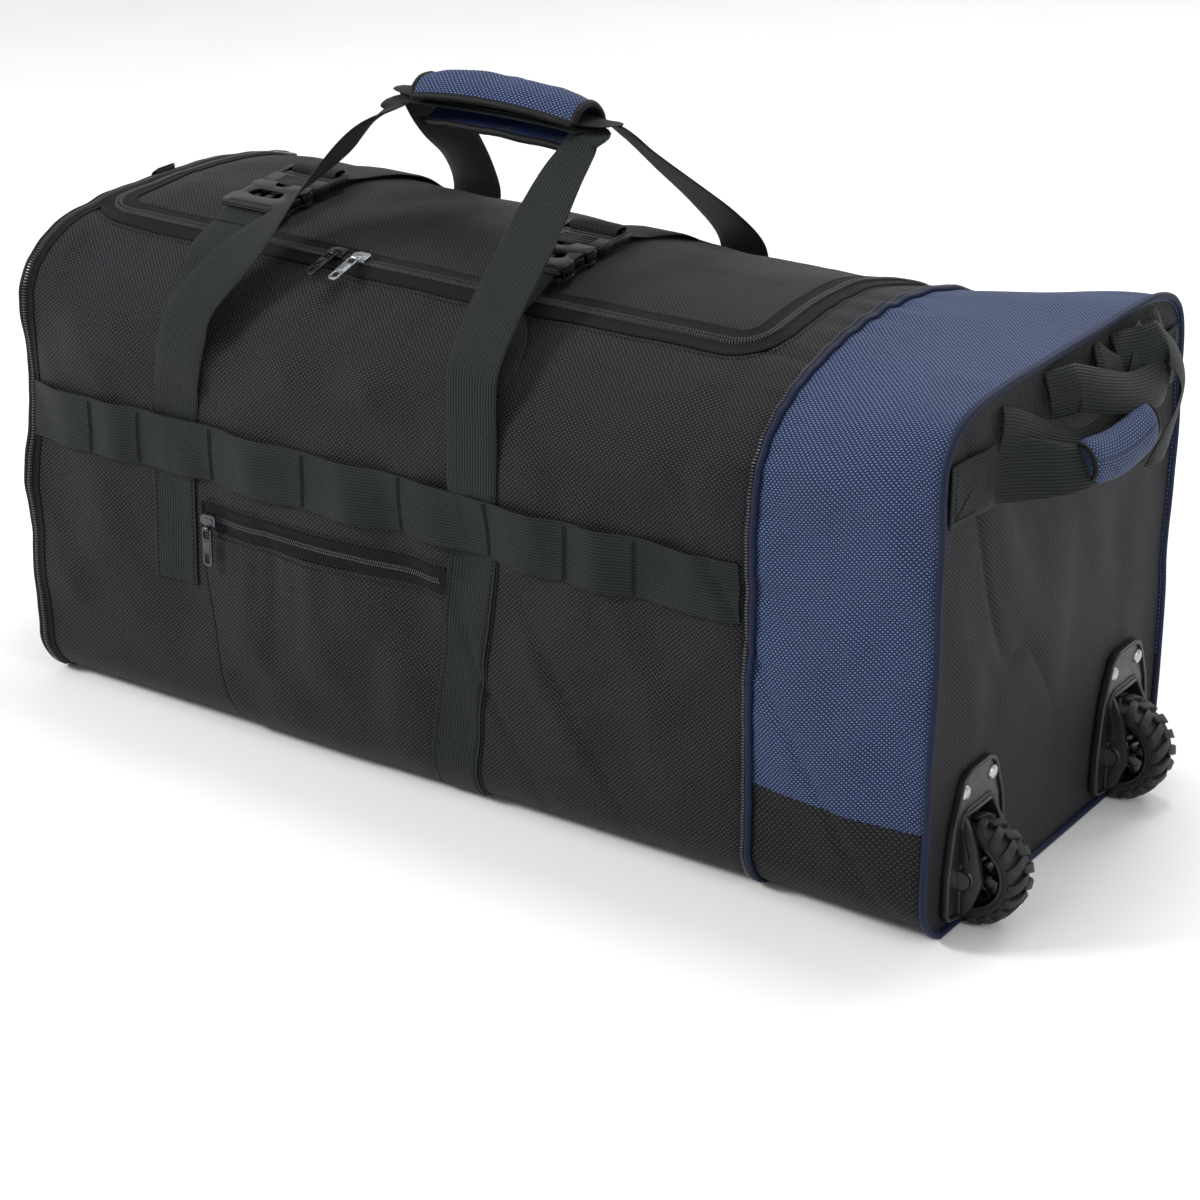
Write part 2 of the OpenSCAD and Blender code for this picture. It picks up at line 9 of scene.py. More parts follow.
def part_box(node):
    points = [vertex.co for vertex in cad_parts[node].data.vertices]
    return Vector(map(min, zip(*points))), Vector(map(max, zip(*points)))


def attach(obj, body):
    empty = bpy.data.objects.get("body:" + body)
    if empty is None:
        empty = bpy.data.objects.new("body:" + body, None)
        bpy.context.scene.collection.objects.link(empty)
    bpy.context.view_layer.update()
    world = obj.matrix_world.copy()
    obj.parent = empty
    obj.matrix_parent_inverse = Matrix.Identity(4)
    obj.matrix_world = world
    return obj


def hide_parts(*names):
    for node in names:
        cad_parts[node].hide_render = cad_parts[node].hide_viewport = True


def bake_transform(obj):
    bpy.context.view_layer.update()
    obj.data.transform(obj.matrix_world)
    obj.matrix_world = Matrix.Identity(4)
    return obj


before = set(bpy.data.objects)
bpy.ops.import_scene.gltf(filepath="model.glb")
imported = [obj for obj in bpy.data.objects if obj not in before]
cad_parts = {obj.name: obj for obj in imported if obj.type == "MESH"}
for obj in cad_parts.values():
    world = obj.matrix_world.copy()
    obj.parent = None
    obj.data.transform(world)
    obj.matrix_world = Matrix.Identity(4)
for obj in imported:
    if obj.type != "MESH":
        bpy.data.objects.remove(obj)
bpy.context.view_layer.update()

# ---------------------------------------------------------------- sizes from the frame
LO_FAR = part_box("far_end_panel")[0]
HI_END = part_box("wheel_end_panel")[1]
FAR_X, END_X, HALF_W, TOP_Z = LO_FAR[0], HI_END[0], HI_END[1], HI_END[2]
SEAM_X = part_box("seam_zipper")[0][0]
PIPE_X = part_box("seam_piping")[0][0] + 0.002
BAND_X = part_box("compartment_band")[0][0]
BOOT_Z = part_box("corner_boots")[1][2]
(LID_X0, LID_Y0, _), (LID_X1, LID_Y1, _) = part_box("lid_panel")
DAISY_LO, DAISY_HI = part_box("daisy_chains")

# thickness of webbing, and width of a zipper tape
WEB_T, TAPE = 0.0022, 0.016
# radius of the lower edges, half width of the flat base, height where the sides end, radius of the top across
EDGE_R = 0.045
BASE_HALF = HALF_W - EDGE_R
SIDE_TOP, CROWN_R = 0.335, 0.400
# middles of the two carry webbings and of the two buckles along the bag
WEB_X, BUCKLE_X = (-0.283, 0.025), (-0.283, 0.010)
# lowest height of a piping's middle, half gap between a zipper's teeth, heights of the two pocket zippers
PIPING_Z, COIL_GAP = 0.0028, 0.0013
FRONT_ZIP_Z, MESH_ZIP_Z = 0.200, 0.270
FRONT, REAR = -1, 1
SIDES = ((FRONT, "front"), (REAR, "rear"))
RNG = np.random.default_rng(7)


def ease(v, a, b):
    """A smooth step from 0 at a to 1 at b."""
    t = np.clip((np.asarray(v, float) - a) / (b - a), 0.0, 1.0)
    return t * t * (3 - 2 * t)


def bump(v, centre, width):
    """1 at the centre, 0 beyond width."""
    t = np.clip(1 - np.abs(np.asarray(v, float) - centre) / width, 0, 1)
    return t * t * (3 - 2 * t)


# ---------------------------------------------------------------- smooth noise
LATTICE = RNG.uniform(-1, 1, (32, 32, 32))


def noise(x, y, z):
    """Smooth value noise of unit period, from -1 to 1."""
    p = [np.asarray(v, float) for v in np.broadcast_arrays(x, y, z)]
    base = [np.floor(v).astype(int) for v in p]
    f = [v - b for v, b in zip(p, base)]
    f = [t * t * t * (t * (6 * t - 15) + 10) for t in f]
    out = 0
    for i in (0, 1):
        for j in (0, 1):
            for k in (0, 1):
                w = (f[0] if i else 1 - f[0]) * (f[1] if j else 1 - f[1]) * (f[2] if k else 1 - f[2])
                out = out + w * LATTICE[(base[0] + i) % 32, (base[1] + j) % 32, (base[2] + k) % 32]
    return out


# ---------------------------------------------------------------- the bag's skin
def section(x):
    """Half cross section at x: distance round, half width and height, from the base to the crown."""
    end = float(ease(x, BAND_X - 0.02, END_X - 0.01))
    far = float(ease(-x, -FAR_X - 0.07, -FAR_X - 0.005))
    power = 1.0 - 0.62 * end - 0.30 * far
    w = HALF_W - 0.0008 + 0.002 * end
    crown = TOP_Z + 0.0005 - 0.013 * far
    r = EDGE_R
    ya = np.linspace(0, w - r, 24)
    za = np.zeros_like(ya)
    a = np.linspace(-math.pi / 2, 0, 26)[1:]
    yb, zb = w - r + r * np.cos(a), r + r * np.sin(a)
    zc = np.linspace(r, SIDE_TOP, 40)[1:]
    yc = np.full_like(zc, w)
    q = np.linspace(0, 1, 240)[1:]
    q = (math.pi / 2) * (q ** (1 / max(power, 0.4)))
    yd = w * np.clip(np.cos(q), 0, 1) ** power
    zd = SIDE_TOP + (crown - SIDE_TOP) * np.sin(q) ** power
    y = np.concatenate([ya, yb, yc, yd])
    z = np.concatenate([za, zb, zc, zd])
    s = np.concatenate([[0], np.cumsum(np.hypot(np.diff(y), np.diff(z)))])
    # resampled evenly, so that slopes come out smooth
    t = np.linspace(0, s[-1], 420)
    return t, np.interp(t, s, y), np.interp(t, s, z)


SECTIONS = {}


def sec(x):
    """The section at x with its normals and the row where the top starts, worked out once for each x."""
    key = round(float(x), 3)
    if key not in SECTIONS:
        s, y, z = section(key)
        ny = np.gradient(z, s)
        nz = -np.gradient(y, s)
        k = np.ones(9) / 9
        ny, nz = (np.convolve(np.pad(v, 4, mode="edge"), k, "valid") for v in (ny, nz))
        length = np.hypot(ny, nz)
        top = int(np.argmax(z > SIDE_TOP - 0.002))
        SECTIONS[key] = (s, y, z, ny / length, nz / length, top)
    return SECTIONS[key]


def tau_top(x, y):
    """Signed distance round the skin from the crown, where the top has the signed width y."""
    s, yy, _, _, _, top = sec(x)
    at = np.interp(-abs(y), -yy[top:], s[top:])
    return math.copysign(s[-1] - at, y)


def tau_side(x, z, side):
    """The same for height z on a side, -1 front and 1 rear."""
    s, _, zz, _, _, top = sec(x)
    start = int(np.argmax(zz > 1e-5))
    at = np.interp(z, zz[start:top + 1], s[start:top + 1])
    return side * (s[-1] - at)


def tau_base(x, y):
    """The same for width y on the base."""
    return math.copysign(sec(x)[0][-1] - abs(y), y)


def top_at(y):
    """The place of a line along the bag, as patch() asks for it: here at width y of the top."""
    return lambda x: tau_top(x, y)


def side_at(z, side):
    return lambda x: tau_side(x, z, side)


def base_at(y):
    return lambda x: tau_base(x, y)


def sag(x, y, z, side):
    """How far the fabric stands out of its section: pillows between webbings, folds and wrinkles."""
    x, y, z = (np.asarray(v, float) for v in (x, y, z))
    on_side = ease(z, 0.035, 0.10) * (1 - ease(z, 0.33, 0.40))
    on_top = ease(z, 0.36, 0.40)
    body = 1 - ease(x, SEAM_X - 0.02, SEAM_X)
    front = np.where(side < 0, 1.0, 0.0)
    d = np.zeros(np.broadcast(x, y, z).shape)
    for a, b, h in ((FAR_X, WEB_X[0], 0.0045), (WEB_X[0], WEB_X[1], 0.002), (WEB_X[1], SEAM_X, 0.006)):
        t = np.clip((x - a) / (b - a), 0, 1)
        d = d + h * np.sin(math.pi * t) ** 0.8 * on_side
    t = np.clip((x - BAND_X) / (END_X - BAND_X), 0, 1)
    d = d + 0.005 * np.sin(math.pi * t) * ease(z, 0.01, 0.08) * (1 - 1.2 * on_top)
    # broad slack
    d = d + 0.0048 * noise(x * 7 + 3, y * 6 + side, z * 7) * (0.35 + 0.65 * on_side) * (1 - 0.6 * on_top)
    # folds that lean from the carry webbings and the seam into the panels
    lean = 24 * x + 10 * z
    d = d + 0.0040 * noise(lean, y * 4, z * 5 + 9) * on_side
    crease = (1 - np.abs(noise(x * 13 + z * 8, y * 4 + 2.5 * side, z * 2.6 - x * 1.6))) ** 6
    d = d - 0.0050 * crease * np.clip(0.5 + noise(x * 5, y * 4, z * 5 + 3.3), 0, 1) * (0.3 + 0.7 * on_side)
    for deep, at_z, slope, at_x, wide, mid, span in ((0.0030, 0.300, 0.25, -0.15, 0.018, -0.13, 0.12),
                                                     (0.0028, 0.325, -0.35, 0.10, 0.016, 0.13, 0.10),
                                                     (0.0025, 0.150, 0.5, 0.16, 0.02, 0.17, 0.09)):
        line = np.exp(-((z - at_z - slope * (x - at_x)) / wide) ** 2)
        d = d - deep * line * bump(x, mid, span) * on_side
    # gathers under the pocket zipper and beside the seam
    pocket = bump(x, -0.13, 0.15) * ease(z, 0.05, 0.17) * (1 - ease(z, 0.18, 0.19)) * front
    d = d + 0.0007 * np.sin(x * 170 + 4 * z + 5 * noise(x * 8, z * 6, 2.0)) * pocket
    gather = (np.exp(-((x - SEAM_X) / 0.03) ** 2) + np.exp(-((x - BAND_X) / 0.03) ** 2)
              + 0.7 * np.exp(-((x - FAR_X) / 0.03) ** 2))
    d = d + 0.0010 * np.sin(z * 210 + y * 190) * gather * (0.3 + 0.7 * noise(x * 3, y * 22, z * 22) ** 2)
    # slack lid: shallow waves across the crown
    d = d + 0.0040 * noise(x * 9 + 11, y * 9, 4.0) * on_top * body
    pucker = np.exp(-((y * side - 0.150) / 0.030) ** 2) * front * ease(z, 0.33, 0.38)
    d = d + 0.0024 * noise(x * 42, 3.0, y * 9) * pucker * body
    d = d + 0.0036 * noise(x * 24, y * 20 + 5, z * 20) * (0.35 + 0.65 * on_side + 0.2 * on_top)
    # kept in line where sliders, hinge and floor are
    d = d * ease(z, 0.003, 0.03)
    zip_line = np.exp(-((y - LID_Y0) / 0.016) ** 2) * on_top + np.exp(-((y - LID_Y1) / 0.012) ** 2) * on_top
    d = d * (1 - 0.85 * np.clip(zip_line, 0, 1))
    pocket_line = np.exp(-((z - FRONT_ZIP_Z) / 0.012) ** 2) * bump(x, -0.13, 0.16) * front
    d = d * (1 - 0.7 * pocket_line)
    seam_line = np.exp(-((x - PIPE_X + 0.003) / 0.010) ** 2) * (1 - on_top) * np.where(side > 0, 0.92, 0.3)
    return np.clip(d * (1 - seam_line), -0.009, 0.0105)


GRID_STEP = 0.003
GRID_X = np.arange(FAR_X - 0.012, END_X + 0.014, GRID_STEP)
GRID = np.array([[sec(gx)[k] for k in (1, 2, 3, 4)] for gx in GRID_X])
GRID_S = np.array([sec(gx)[0][-1] for gx in GRID_X])


def skin(x, tau, off=0.0):
    """Points and normals of the skin at x and at signed distance tau from the crown, lifted by off."""
    x, tau, off = np.broadcast_arrays(*(np.asarray(v, float) for v in (x, tau, off)))
    i = np.clip((x - GRID_X[0]) / GRID_STEP, 0, len(GRID_X) - 1.001)
    i0 = i.astype(int)
    fi = i - i0
    total = GRID_S[i0] * (1 - fi) + GRID_S[i0 + 1] * fi
    last = GRID.shape[2] - 1
    j = np.clip((total - np.abs(tau)) / total * last, 0, last - 0.001)
    j0 = j.astype(int)
    fj = j - j0
    y, z, ny, nz = (
        (GRID[i0, k, j0] * (1 - fj) + GRID[i0, k, j0 + 1] * fj) * (1 - fi)
        + (GRID[i0 + 1, k, j0] * (1 - fj) + GRID[i0 + 1, k, j0 + 1] * fj) * fi for k in range(4))
    side = np.where(tau < 0, -1.0, 1.0)
    y, ny = y * side, ny * side
    d = sag(x, y, z, side) + off
    points = np.stack([x, y + ny * d, np.maximum(z + nz * d, 0.0)], -1)
    return points, np.stack([np.zeros_like(ny), ny, nz], -1)


# ---------------------------------------------------------------- materials
def lin(hexa):
    """A linear colour from a hex one."""
    c = [int(hexa[i:i + 2], 16) / 255 for i in (1, 3, 5)]
    return [v / 12.92 if v <= 0.04045 else ((v + 0.055) / 1.055) ** 2.4 for v in c] + [1.0]


class Nodes:
    """A short way to write a material's node tree."""

    def __init__(self, name):
        self.mat = bpy.data.materials.new(name)
        self.mat.use_nodes = True
        self.tree = self.mat.node_tree
        self.shader = self.tree.nodes["Principled BSDF"]

    def add(self, kind, **props):
        n = self.tree.nodes.new(kind)
        for k, v in props.items():
            setattr(n, k, v)
        return n

    def link(self, a, b):
        self.tree.links.new(a, b)

    def math(self, op, a, b=None, c=None):
        n = self.add("ShaderNodeMath", operation=op)
        for i, v in enumerate((a, b, c)):
            if v is None:
                continue
            if isinstance(v, (int, float)):
                n.inputs[i].default_value = v
            else:
                self.link(v, n.inputs[i])
        return n.outputs[0]

    def uv(self):
        sep = self.add("ShaderNodeSeparateXYZ")
        self.link(self.add("ShaderNodeUVMap", uv_map="UVMap").outputs[0], sep.inputs[0])
        return sep.outputs[0], sep.outputs[1]

    def noise(self, scale, detail=3.0, rough=0.6):
        tc = self.add("ShaderNodeTexCoord")
        n = self.add("ShaderNodeTexNoise")
        n.inputs["Scale"].default_value = scale
        n.inputs["Detail"].default_value = detail
        n.inputs["Roughness"].default_value = rough
        self.link(tc.outputs["Object"], n.inputs["Vector"])
        return n.outputs["Fac"]

    def ramp(self, fac, stops):
        n = self.add("ShaderNodeValToRGB")
        while len(n.color_ramp.elements) < len(stops):
            n.color_ramp.elements.new(0.5)
        for e, (pos, col) in zip(n.color_ramp.elements, stops):
            e.position = pos
            e.color = col
        self.link(fac, n.inputs[0])
        return n.outputs[0]

    def scaled(self, colour, factor):
        """A colour times a grey factor."""
        n = self.add("ShaderNodeMix", data_type="RGBA", blend_type="MULTIPLY")
        n.inputs[0].default_value = 1.0
        self.link(colour, n.inputs[6])
        comb = self.add("ShaderNodeCombineColor")
        for i in range(3):
            self.link(factor, comb.inputs[i])
        self.link(comb.outputs[0], n.inputs[7])
        return n.outputs[2]

    def finish(self, colour, rough, height=None, dist=0.0004, strength=1.0, **fixed):
        """Links the looks to the shader; a constant goes on its socket."""
        s = self.shader
        self.link(colour, s.inputs["Base Color"])
        if isinstance(rough, (int, float)):
            s.inputs["Roughness"].default_value = rough
        else:
            self.link(rough, s.inputs["Roughness"])
        if height is not None:
            b = self.add("ShaderNodeBump")
            b.inputs["Distance"].default_value = dist
            b.inputs["Strength"].default_value = strength
            self.link(height, b.inputs["Height"])
            self.link(b.outputs[0], s.inputs["Normal"])
        for k, v in fixed.items():
            s.inputs[k.replace("_", " ")].default_value = v
        return self.mat


def weave_height(m, pitch):
    """Height of a plain weave over the UVs, and which of its two threads is on top."""
    u, v = m.uv()
    a, b = m.math("DIVIDE", u, pitch), m.math("DIVIDE", v, pitch)
    fu, fv = m.math("FRACT", a), m.math("FRACT", b)
    iu, iv = m.math("FLOOR", a), m.math("FLOOR", b)
    parity = m.math("FLOORED_MODULO", m.math("ADD", iu, iv), 2.0)
    su = m.math("SINE", m.math("MULTIPLY", fu, math.pi))
    sv = m.math("SINE", m.math("MULTIPLY", fv, math.pi))
    warp = m.math("MULTIPLY", su, m.math("MULTIPLY_ADD", sv, 0.45, 0.55))
    weft = m.math("MULTIPLY", sv, m.math("MULTIPLY_ADD", su, 0.45, 0.55))
    mix = m.add("ShaderNodeMix", data_type="FLOAT")
    m.link(parity, mix.inputs[0])
    m.link(warp, mix.inputs[2])
    m.link(weft, mix.inputs[3])
    return mix.outputs[0], parity


def fabric(name, gap_shade, thread, light, pitch, depth=0.0005):
    m = Nodes(name)
    h, parity = weave_height(m, pitch)
    cloud = m.noise(9.0, 4.0)
    fine = m.noise(420.0, 1.0)
    # the weave height and which thread lies on top run a ramp that paints shade into the gaps between threads and a
    # highlight glint on the raised threads; only the middle colour is the cloth's own
    level = m.math("MULTIPLY_ADD", parity, 0.34, m.math("MULTIPLY", h, 0.66))
    colour = m.ramp(level, [(0.20, gap_shade), (0.58, thread), (0.96, light)])
    factor = m.math("MULTIPLY_ADD", cloud, 0.5, m.math("MULTIPLY_ADD", fine, 0.35, 0.6))
    colour = m.scaled(colour, factor)
    r = m.math("MULTIPLY_ADD", cloud, 0.16, 0.62 - 0.12)
    return m.finish(colour, r, h, depth, 0.9, Sheen_Weight=0.02, Sheen_Roughness=0.5, Specular_IOR_Level=0.16)


def webbing_mat(name, rib_shade, light, rib=0.0026, rough=0.58):
    m = Nodes(name)
    u, v = m.uv()
    ribs = m.math("ABSOLUTE", m.math("SINE", m.math("MULTIPLY", v, math.pi / rib)))
    picks = m.math("MULTIPLY", u, 2 * math.pi / 0.0022)
    slant = m.math("ADD", picks, m.math("MULTIPLY", v, math.pi / rib))
    cross = m.math("MULTIPLY_ADD", m.math("SINE", slant), 0.5, 0.5)
    h = m.math("ADD", m.math("MULTIPLY", ribs, 0.65), m.math("MULTIPLY", cross, 0.35))
    cloud = m.noise(14.0, 4.0)
    # the first colour paints shade between the ribs and cross picks; the second is the webbing's tone on the rib tops
    colour = m.ramp(h, [(0.15, rib_shade), (0.95, light)])
    colour = m.scaled(colour, m.math("MULTIPLY_ADD", cloud, 0.6, 0.7))
    return m.finish(colour, rough, h, 0.0007, 0.9, Sheen_Weight=0.02, Sheen_Roughness=0.5, Specular_IOR_Level=0.14)


def mesh_mat(name):
    m = Nodes(name)
    u, v = m.uv()
    turns = 2 * math.pi / 0.0052
    a, b = (m.math("SINE", m.math("MULTIPLY", m.math(op, u, v), turns)) for op in ("ADD", "SUBTRACT"))
    h = m.math("MAXIMUM", a, b)
    colour = m.ramp(m.math("MULTIPLY_ADD", h, 0.5, 0.5), [(0.45, lin("#0b0b0c")), (0.75, lin("#28282b"))])
    return m.finish(colour, 0.7, h, 0.0009, 1.0, Sheen_Weight=0.02, Specular_IOR_Level=0.25)


def moulded(name, colour, rough, grain=0.00012, scale=900.0, metal=0.0, wear=None, spec=0.5):
    m = Nodes(name)
    g = m.noise(scale, 2.0)
    cloud = m.noise(22.0, 5.0)
    worn = wear or [min(1.0, c * 1.35) for c in colour[:3]] + [1.0]
    base = m.ramp(cloud, [(0.3, colour), (0.75, worn)])
    r = m.math("MULTIPLY_ADD", cloud, 0.22, rough - 0.11)
    return m.finish(base, r, g, grain, 0.7, Metallic=metal, Specular_IOR_Level=spec)


def thread_mat(name, colour):
    m = Nodes(name)
    g = m.noise(700.0, 2.0)
    base = m.ramp(g, [(0.3, [c * 0.6 for c in colour[:3]] + [1.0]), (0.7, colour)])
    return m.finish(base, 0.6, g, 0.0002, 0.8, Sheen_Weight=0.02, Specular_IOR_Level=0.2)


M = {
    # fabrics: the first colour is painted shade in the gaps between threads, the second the cloth's own colour, the
    # third a painted highlight glint on the raised threads
    "body": fabric("black_woven_polyester", lin("#030304"), lin("#0d0d0f"), lin("#3a3940"), 0.0020),
    "boot": fabric("black_coarse_polyester", lin("#020203"), lin("#08080a"), lin("#303036"), 0.0026, 0.0006),
    "blue": fabric("blue_woven_polyester", lin("#060a1a"), lin("#1c2a4a"), lin("#62739c"), 0.0020),
    "lining": fabric("blue_plain_lining", lin("#0c132b"), lin("#1a2a55"), lin("#2f4378"), 0.0016, 0.0002),
    # webbing: the first colour is painted shade between the ribs, the second the webbing's own tone
    "webbing": webbing_mat("ribbed_webbing", lin("#010202"), lin("#242a27")),
    # zipper tape: both colours are darkened below the black fabric so that the tape reads as a shadow line beside the
    # coil, painted shade
    "tape": webbing_mat("zipper_tape", lin("#020203"), lin("#0c0c0d"), rib=0.0014, rough=0.7),
    "mesh": mesh_mat("knitted_mesh"),
    "piping": thread_mat("blue_piping", lin("#111c38")),
    "black_piping": thread_mat("black_piping", lin("#09090a")),
    # the coil's lighter grey, above the black tape, stands in for the bright glint along its ridges: painted
    # highlight
    "coil": moulded("nylon_coil_painted_glint", lin("#38383b"), 0.34, 0.00006),
    "plastic": moulded("black_moulded_plastic", lin("#060607"), 0.26, 0.0001, 1100.0,
                       wear=lin("#0d0d0e"), spec=0.42),
    "housing": moulded("satin_black_plastic", lin("#0e0e10"), 0.36, 0.00008, 1400.0, wear=lin("#19191b")),
    "rubber": moulded("tread_rubber", lin("#0c0c0c"), 0.62, 0.00025, 500.0, wear=lin("#1c1b1a")),
    "board": moulded("board_sheet", lin("#18181a"), 0.6, 0.0002, 300.0),
    "nickel": moulded("bright_nickel", lin("#c4c7cb"), 0.38, 0.00001, 300.0, 1.0, lin("#a8abaf")),
    "steel": moulded("turned_steel", lin("#8d9095"), 0.34, 0.00004, 800.0, 1.0, lin("#76787c")),
    "black_metal": moulded("black_coated_metal", lin("#3c3d41"), 0.30, 0.00004, 700.0, 1.0, lin("#5a5b60")),
    "thread": thread_mat("dark_thread", lin("#1b1d1e")),
}


# ---------------------------------------------------------------- mesh builders
def dress(o, mat, body, replaces):
    """Puts a piece in the scene with its look, the CAD nodes it stands for and its body."""
    o.data.materials.append(M[mat])
    bpy.context.scene.collection.objects.link(o)
    if replaces:
        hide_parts(*replaces)
    if body:
        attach(o, body)
    return o


def make(name, verts, faces, mat, uvs=None, body="bag", replaces=(), slot=None, smooth=True, outward=True):
    """A mesh piece; outward turns all its faces out."""
    me = bpy.data.meshes.new(name)
    me.from_pydata([tuple(map(float, v)) for v in verts], [], [tuple(map(int, f)) for f in faces])
    me.update()
    if uvs is None:
        v = np.asarray(verts, float)
        uvs = np.stack([v[:, 0] + 0.31 * v[:, 1], v[:, 2] + 0.17 * v[:, 1]], 1)
    idx = np.empty(len(me.loops), int)
    me.loops.foreach_get("vertex_index", idx)
    me.uv_layers.new(name="UVMap").data.foreach_set("uv", np.asarray(uvs, float)[idx].astype(np.float32).ravel())
    if smooth:
        me.shade_smooth()
    o = dress(bpy.data.objects.new(name, me), mat, body, replaces)
    if outward:
        bm = bmesh.new()
        bm.from_mesh(me)
        bmesh.ops.recalc_face_normals(bm, faces=bm.faces)
        bm.to_mesh(me)
        bm.free()
    return o


def grid_faces(cols, rows, wrap_c=False, wrap_r=False):
    """Faces between neighbouring columns and rows of points, closed round where wrapped."""
    out = []
    for i in range(cols if wrap_c else cols - 1):
        for j in range(rows if wrap_r else rows - 1):
            k, m = (i + 1) % cols, (j + 1) % rows
            out.append((i * rows + j, k * rows + j, k * rows + m, i * rows + m))
    return out


def end_caps(cols, rows):
    """The two faces that close a grid of wrapped rows."""
    return [tuple(range(rows)), tuple((cols - 1) * rows + j for j in reversed(range(rows)))]


def solid_sheet(name, top, normals, uv, thick, mat, **what):
    """A closed sheet from a grid of points (cols, rows, 3), thick inwards from the given side."""
    c, r = top.shape[:2]
    verts = np.concatenate([top.reshape(-1, 3), (top - normals * thick).reshape(-1, 3)])
    n = c * r
    faces = grid_faces(c, r)
    faces += [tuple(n + i for i in reversed(f)) for f in faces]
    ring = [i * r for i in range(c)] + [(c - 1) * r + j for j in range(1, r)]
    ring += [i * r + r - 1 for i in range(c - 2, -1, -1)] + [j for j in range(r - 2, 0, -1)]
    rim = list(zip(ring, ring[1:] + ring[:1]))
    faces += [(b, a, n + a, n + b) for a, b in rim]
    o = make(name, verts, faces, mat, np.concatenate([uv.reshape(-1, 2)] * 2), **what)
    # sharp rims keep the shading of the broad faces clean
    sharp = {(min(a, b) + k, max(a, b) + k) for a, b in rim for k in (0, n)}
    edge = o.data.attributes.get("sharp_edge") or o.data.attributes.new("sharp_edge", "BOOLEAN", "EDGE")
    ends = np.empty(len(o.data.edges) * 2, int)
    o.data.edges.foreach_get("vertices", ends)
    edge.data.foreach_set("value", [(min(a, b), max(a, b)) in sharp for a, b in ends.reshape(-1, 2).tolist()])
    return o


def patch(name, xs, lo, hi, rows, mat="body", off=0.0, thick=0.0024, tuck=0.0012, lift=None, **what):
    """A piece of fabric on the skin: columns at xs, rows from lo(x) to hi(x) round the section."""
    x = np.repeat(np.asarray(xs, float)[:, None], rows, 1)
    ends = np.array([(lo(v), hi(v)) for v in xs])
    low, high = ends[:, :1], ends[:, 1:]
    tau = low + (high - low) * np.linspace(0, 1, rows)[None, :]
    edge = np.minimum.reduce([np.abs(tau - low), np.abs(high - tau), np.abs(x - xs[0]), np.abs(xs[-1] - x)])
    rise = off - tuck * (1 - np.clip(edge / 0.007, 0, 1)) ** 2 + (lift(x, tau) if lift else 0.0)
    pts, nrm = skin(x, tau, rise)
    return solid_sheet(name, pts, nrm, np.stack([x, tau], -1), thick, mat, **what)


def strip(name, centre, taus, width, off, across=9, **what):
    """Webbing laid on the skin round the section: centre is its x at each tau, off its top face."""
    u = np.linspace(-0.5, 0.5, across)
    x = centre[:, None] + np.broadcast_to(width, taus.shape)[:, None] * u[None, :]
    tau = np.repeat(taus[:, None], across, 1)
    rise = np.broadcast_to(off, taus.shape)[:, None] - 0.0006 * (np.abs(u) > 0.49)[None, :]
    pts, nrm = skin(x, tau, rise)
    return solid_sheet(name, pts, nrm, np.stack([tau, x - centre[:, None]], -1), WEB_T, "webbing", **what)


def unit(v):
    return v / np.linalg.norm(v, axis=-1)[..., None]


def ribbon(name, points, ups, width, thick=WEB_T, curl=0.0, close=False, **what):
    """Webbing swept along points; ups are its face normals and width may change along it."""
    p = np.asarray(points, float)
    t = unit(np.gradient(p, axis=0))
    n = np.asarray(ups, float)
    if n.ndim == 1:
        n = np.tile(n, (len(p), 1))
    n = unit(n - (n * t).sum(1)[:, None] * t)
    b = np.cross(t, n)
    w = np.broadcast_to(np.asarray(width, float), (len(p),))
    across = np.linspace(-0.5, 0.5, 9)
    rim = thick * 0.32
    prof = np.array([(a, 0.5) for a in across] + [(0.5, 0.0)] + [(a, -0.5) for a in across[::-1]] + [(-0.5, 0.0)])
    length = np.concatenate([[0], np.cumsum(np.linalg.norm(np.diff(p, axis=0), axis=1))])
    verts, uvs = [], []
    for i in range(len(p)):
        for a, h in prof:
            edge = abs(a) > 0.49
            high = h * thick - math.copysign(rim, h) if edge and h else h * thick
            wide = a * w[i] + (math.copysign(0.0006, a) if h == 0 else 0)
            verts.append(p[i] + b[i] * wide + n[i] * (high + -curl * (2 * a) ** 2))
            uvs.append((length[i], a * w[i]))
    faces = grid_faces(len(p), len(prof), wrap_r=True, wrap_c=close)
    if not close:
        faces += end_caps(len(p), len(prof))
    return make(name, verts, faces, "webbing", uvs, **what)


def sweep(name, rows, count, change=None, **what):
    """A ribbon through rows of (x, y, z, up x, up y, up z, width)."""
    path = smooth_path(rows, count)
    if change:
        change(path)
    return ribbon(name, path[:, :3], path[:, 3:6], path[:, 6], **what)


def tube(name, points, radius, mat, closed=False, seg=10, **what):
    """A round cord of fabric or plastic along points."""
    p = np.asarray(points, float)
    t = np.roll(p, -1, 0) - np.roll(p, 1, 0) if closed else np.gradient(p, axis=0)
    t /= np.linalg.norm(t, axis=1)[:, None]
    ref = np.array([0.12, 0.31, 0.94]) if abs(t[0][2]) < 0.9 else np.array([0.9, 0.3, 0.1])
    n = ref - (ref @ t[0]) * t[0]
    n /= np.linalg.norm(n)
    verts, uvs, run = [], [], 0.0
    for i in range(len(p)):
        n = n - (n @ t[i]) * t[i]
        n /= np.linalg.norm(n)
        b = np.cross(t[i], n)
        if i:
            run += np.linalg.norm(p[i] - p[i - 1])
        for j in range(seg):
            a = 2 * math.pi * j / seg
            verts.append(p[i] + (n * math.cos(a) + b * math.sin(a)) * radius)
            uvs.append((run, a * radius))
    faces = grid_faces(len(p), seg, wrap_c=closed, wrap_r=True)
    if not closed:
        faces += end_caps(len(p), seg)
    return make(name, verts, faces, mat, uvs, **what)


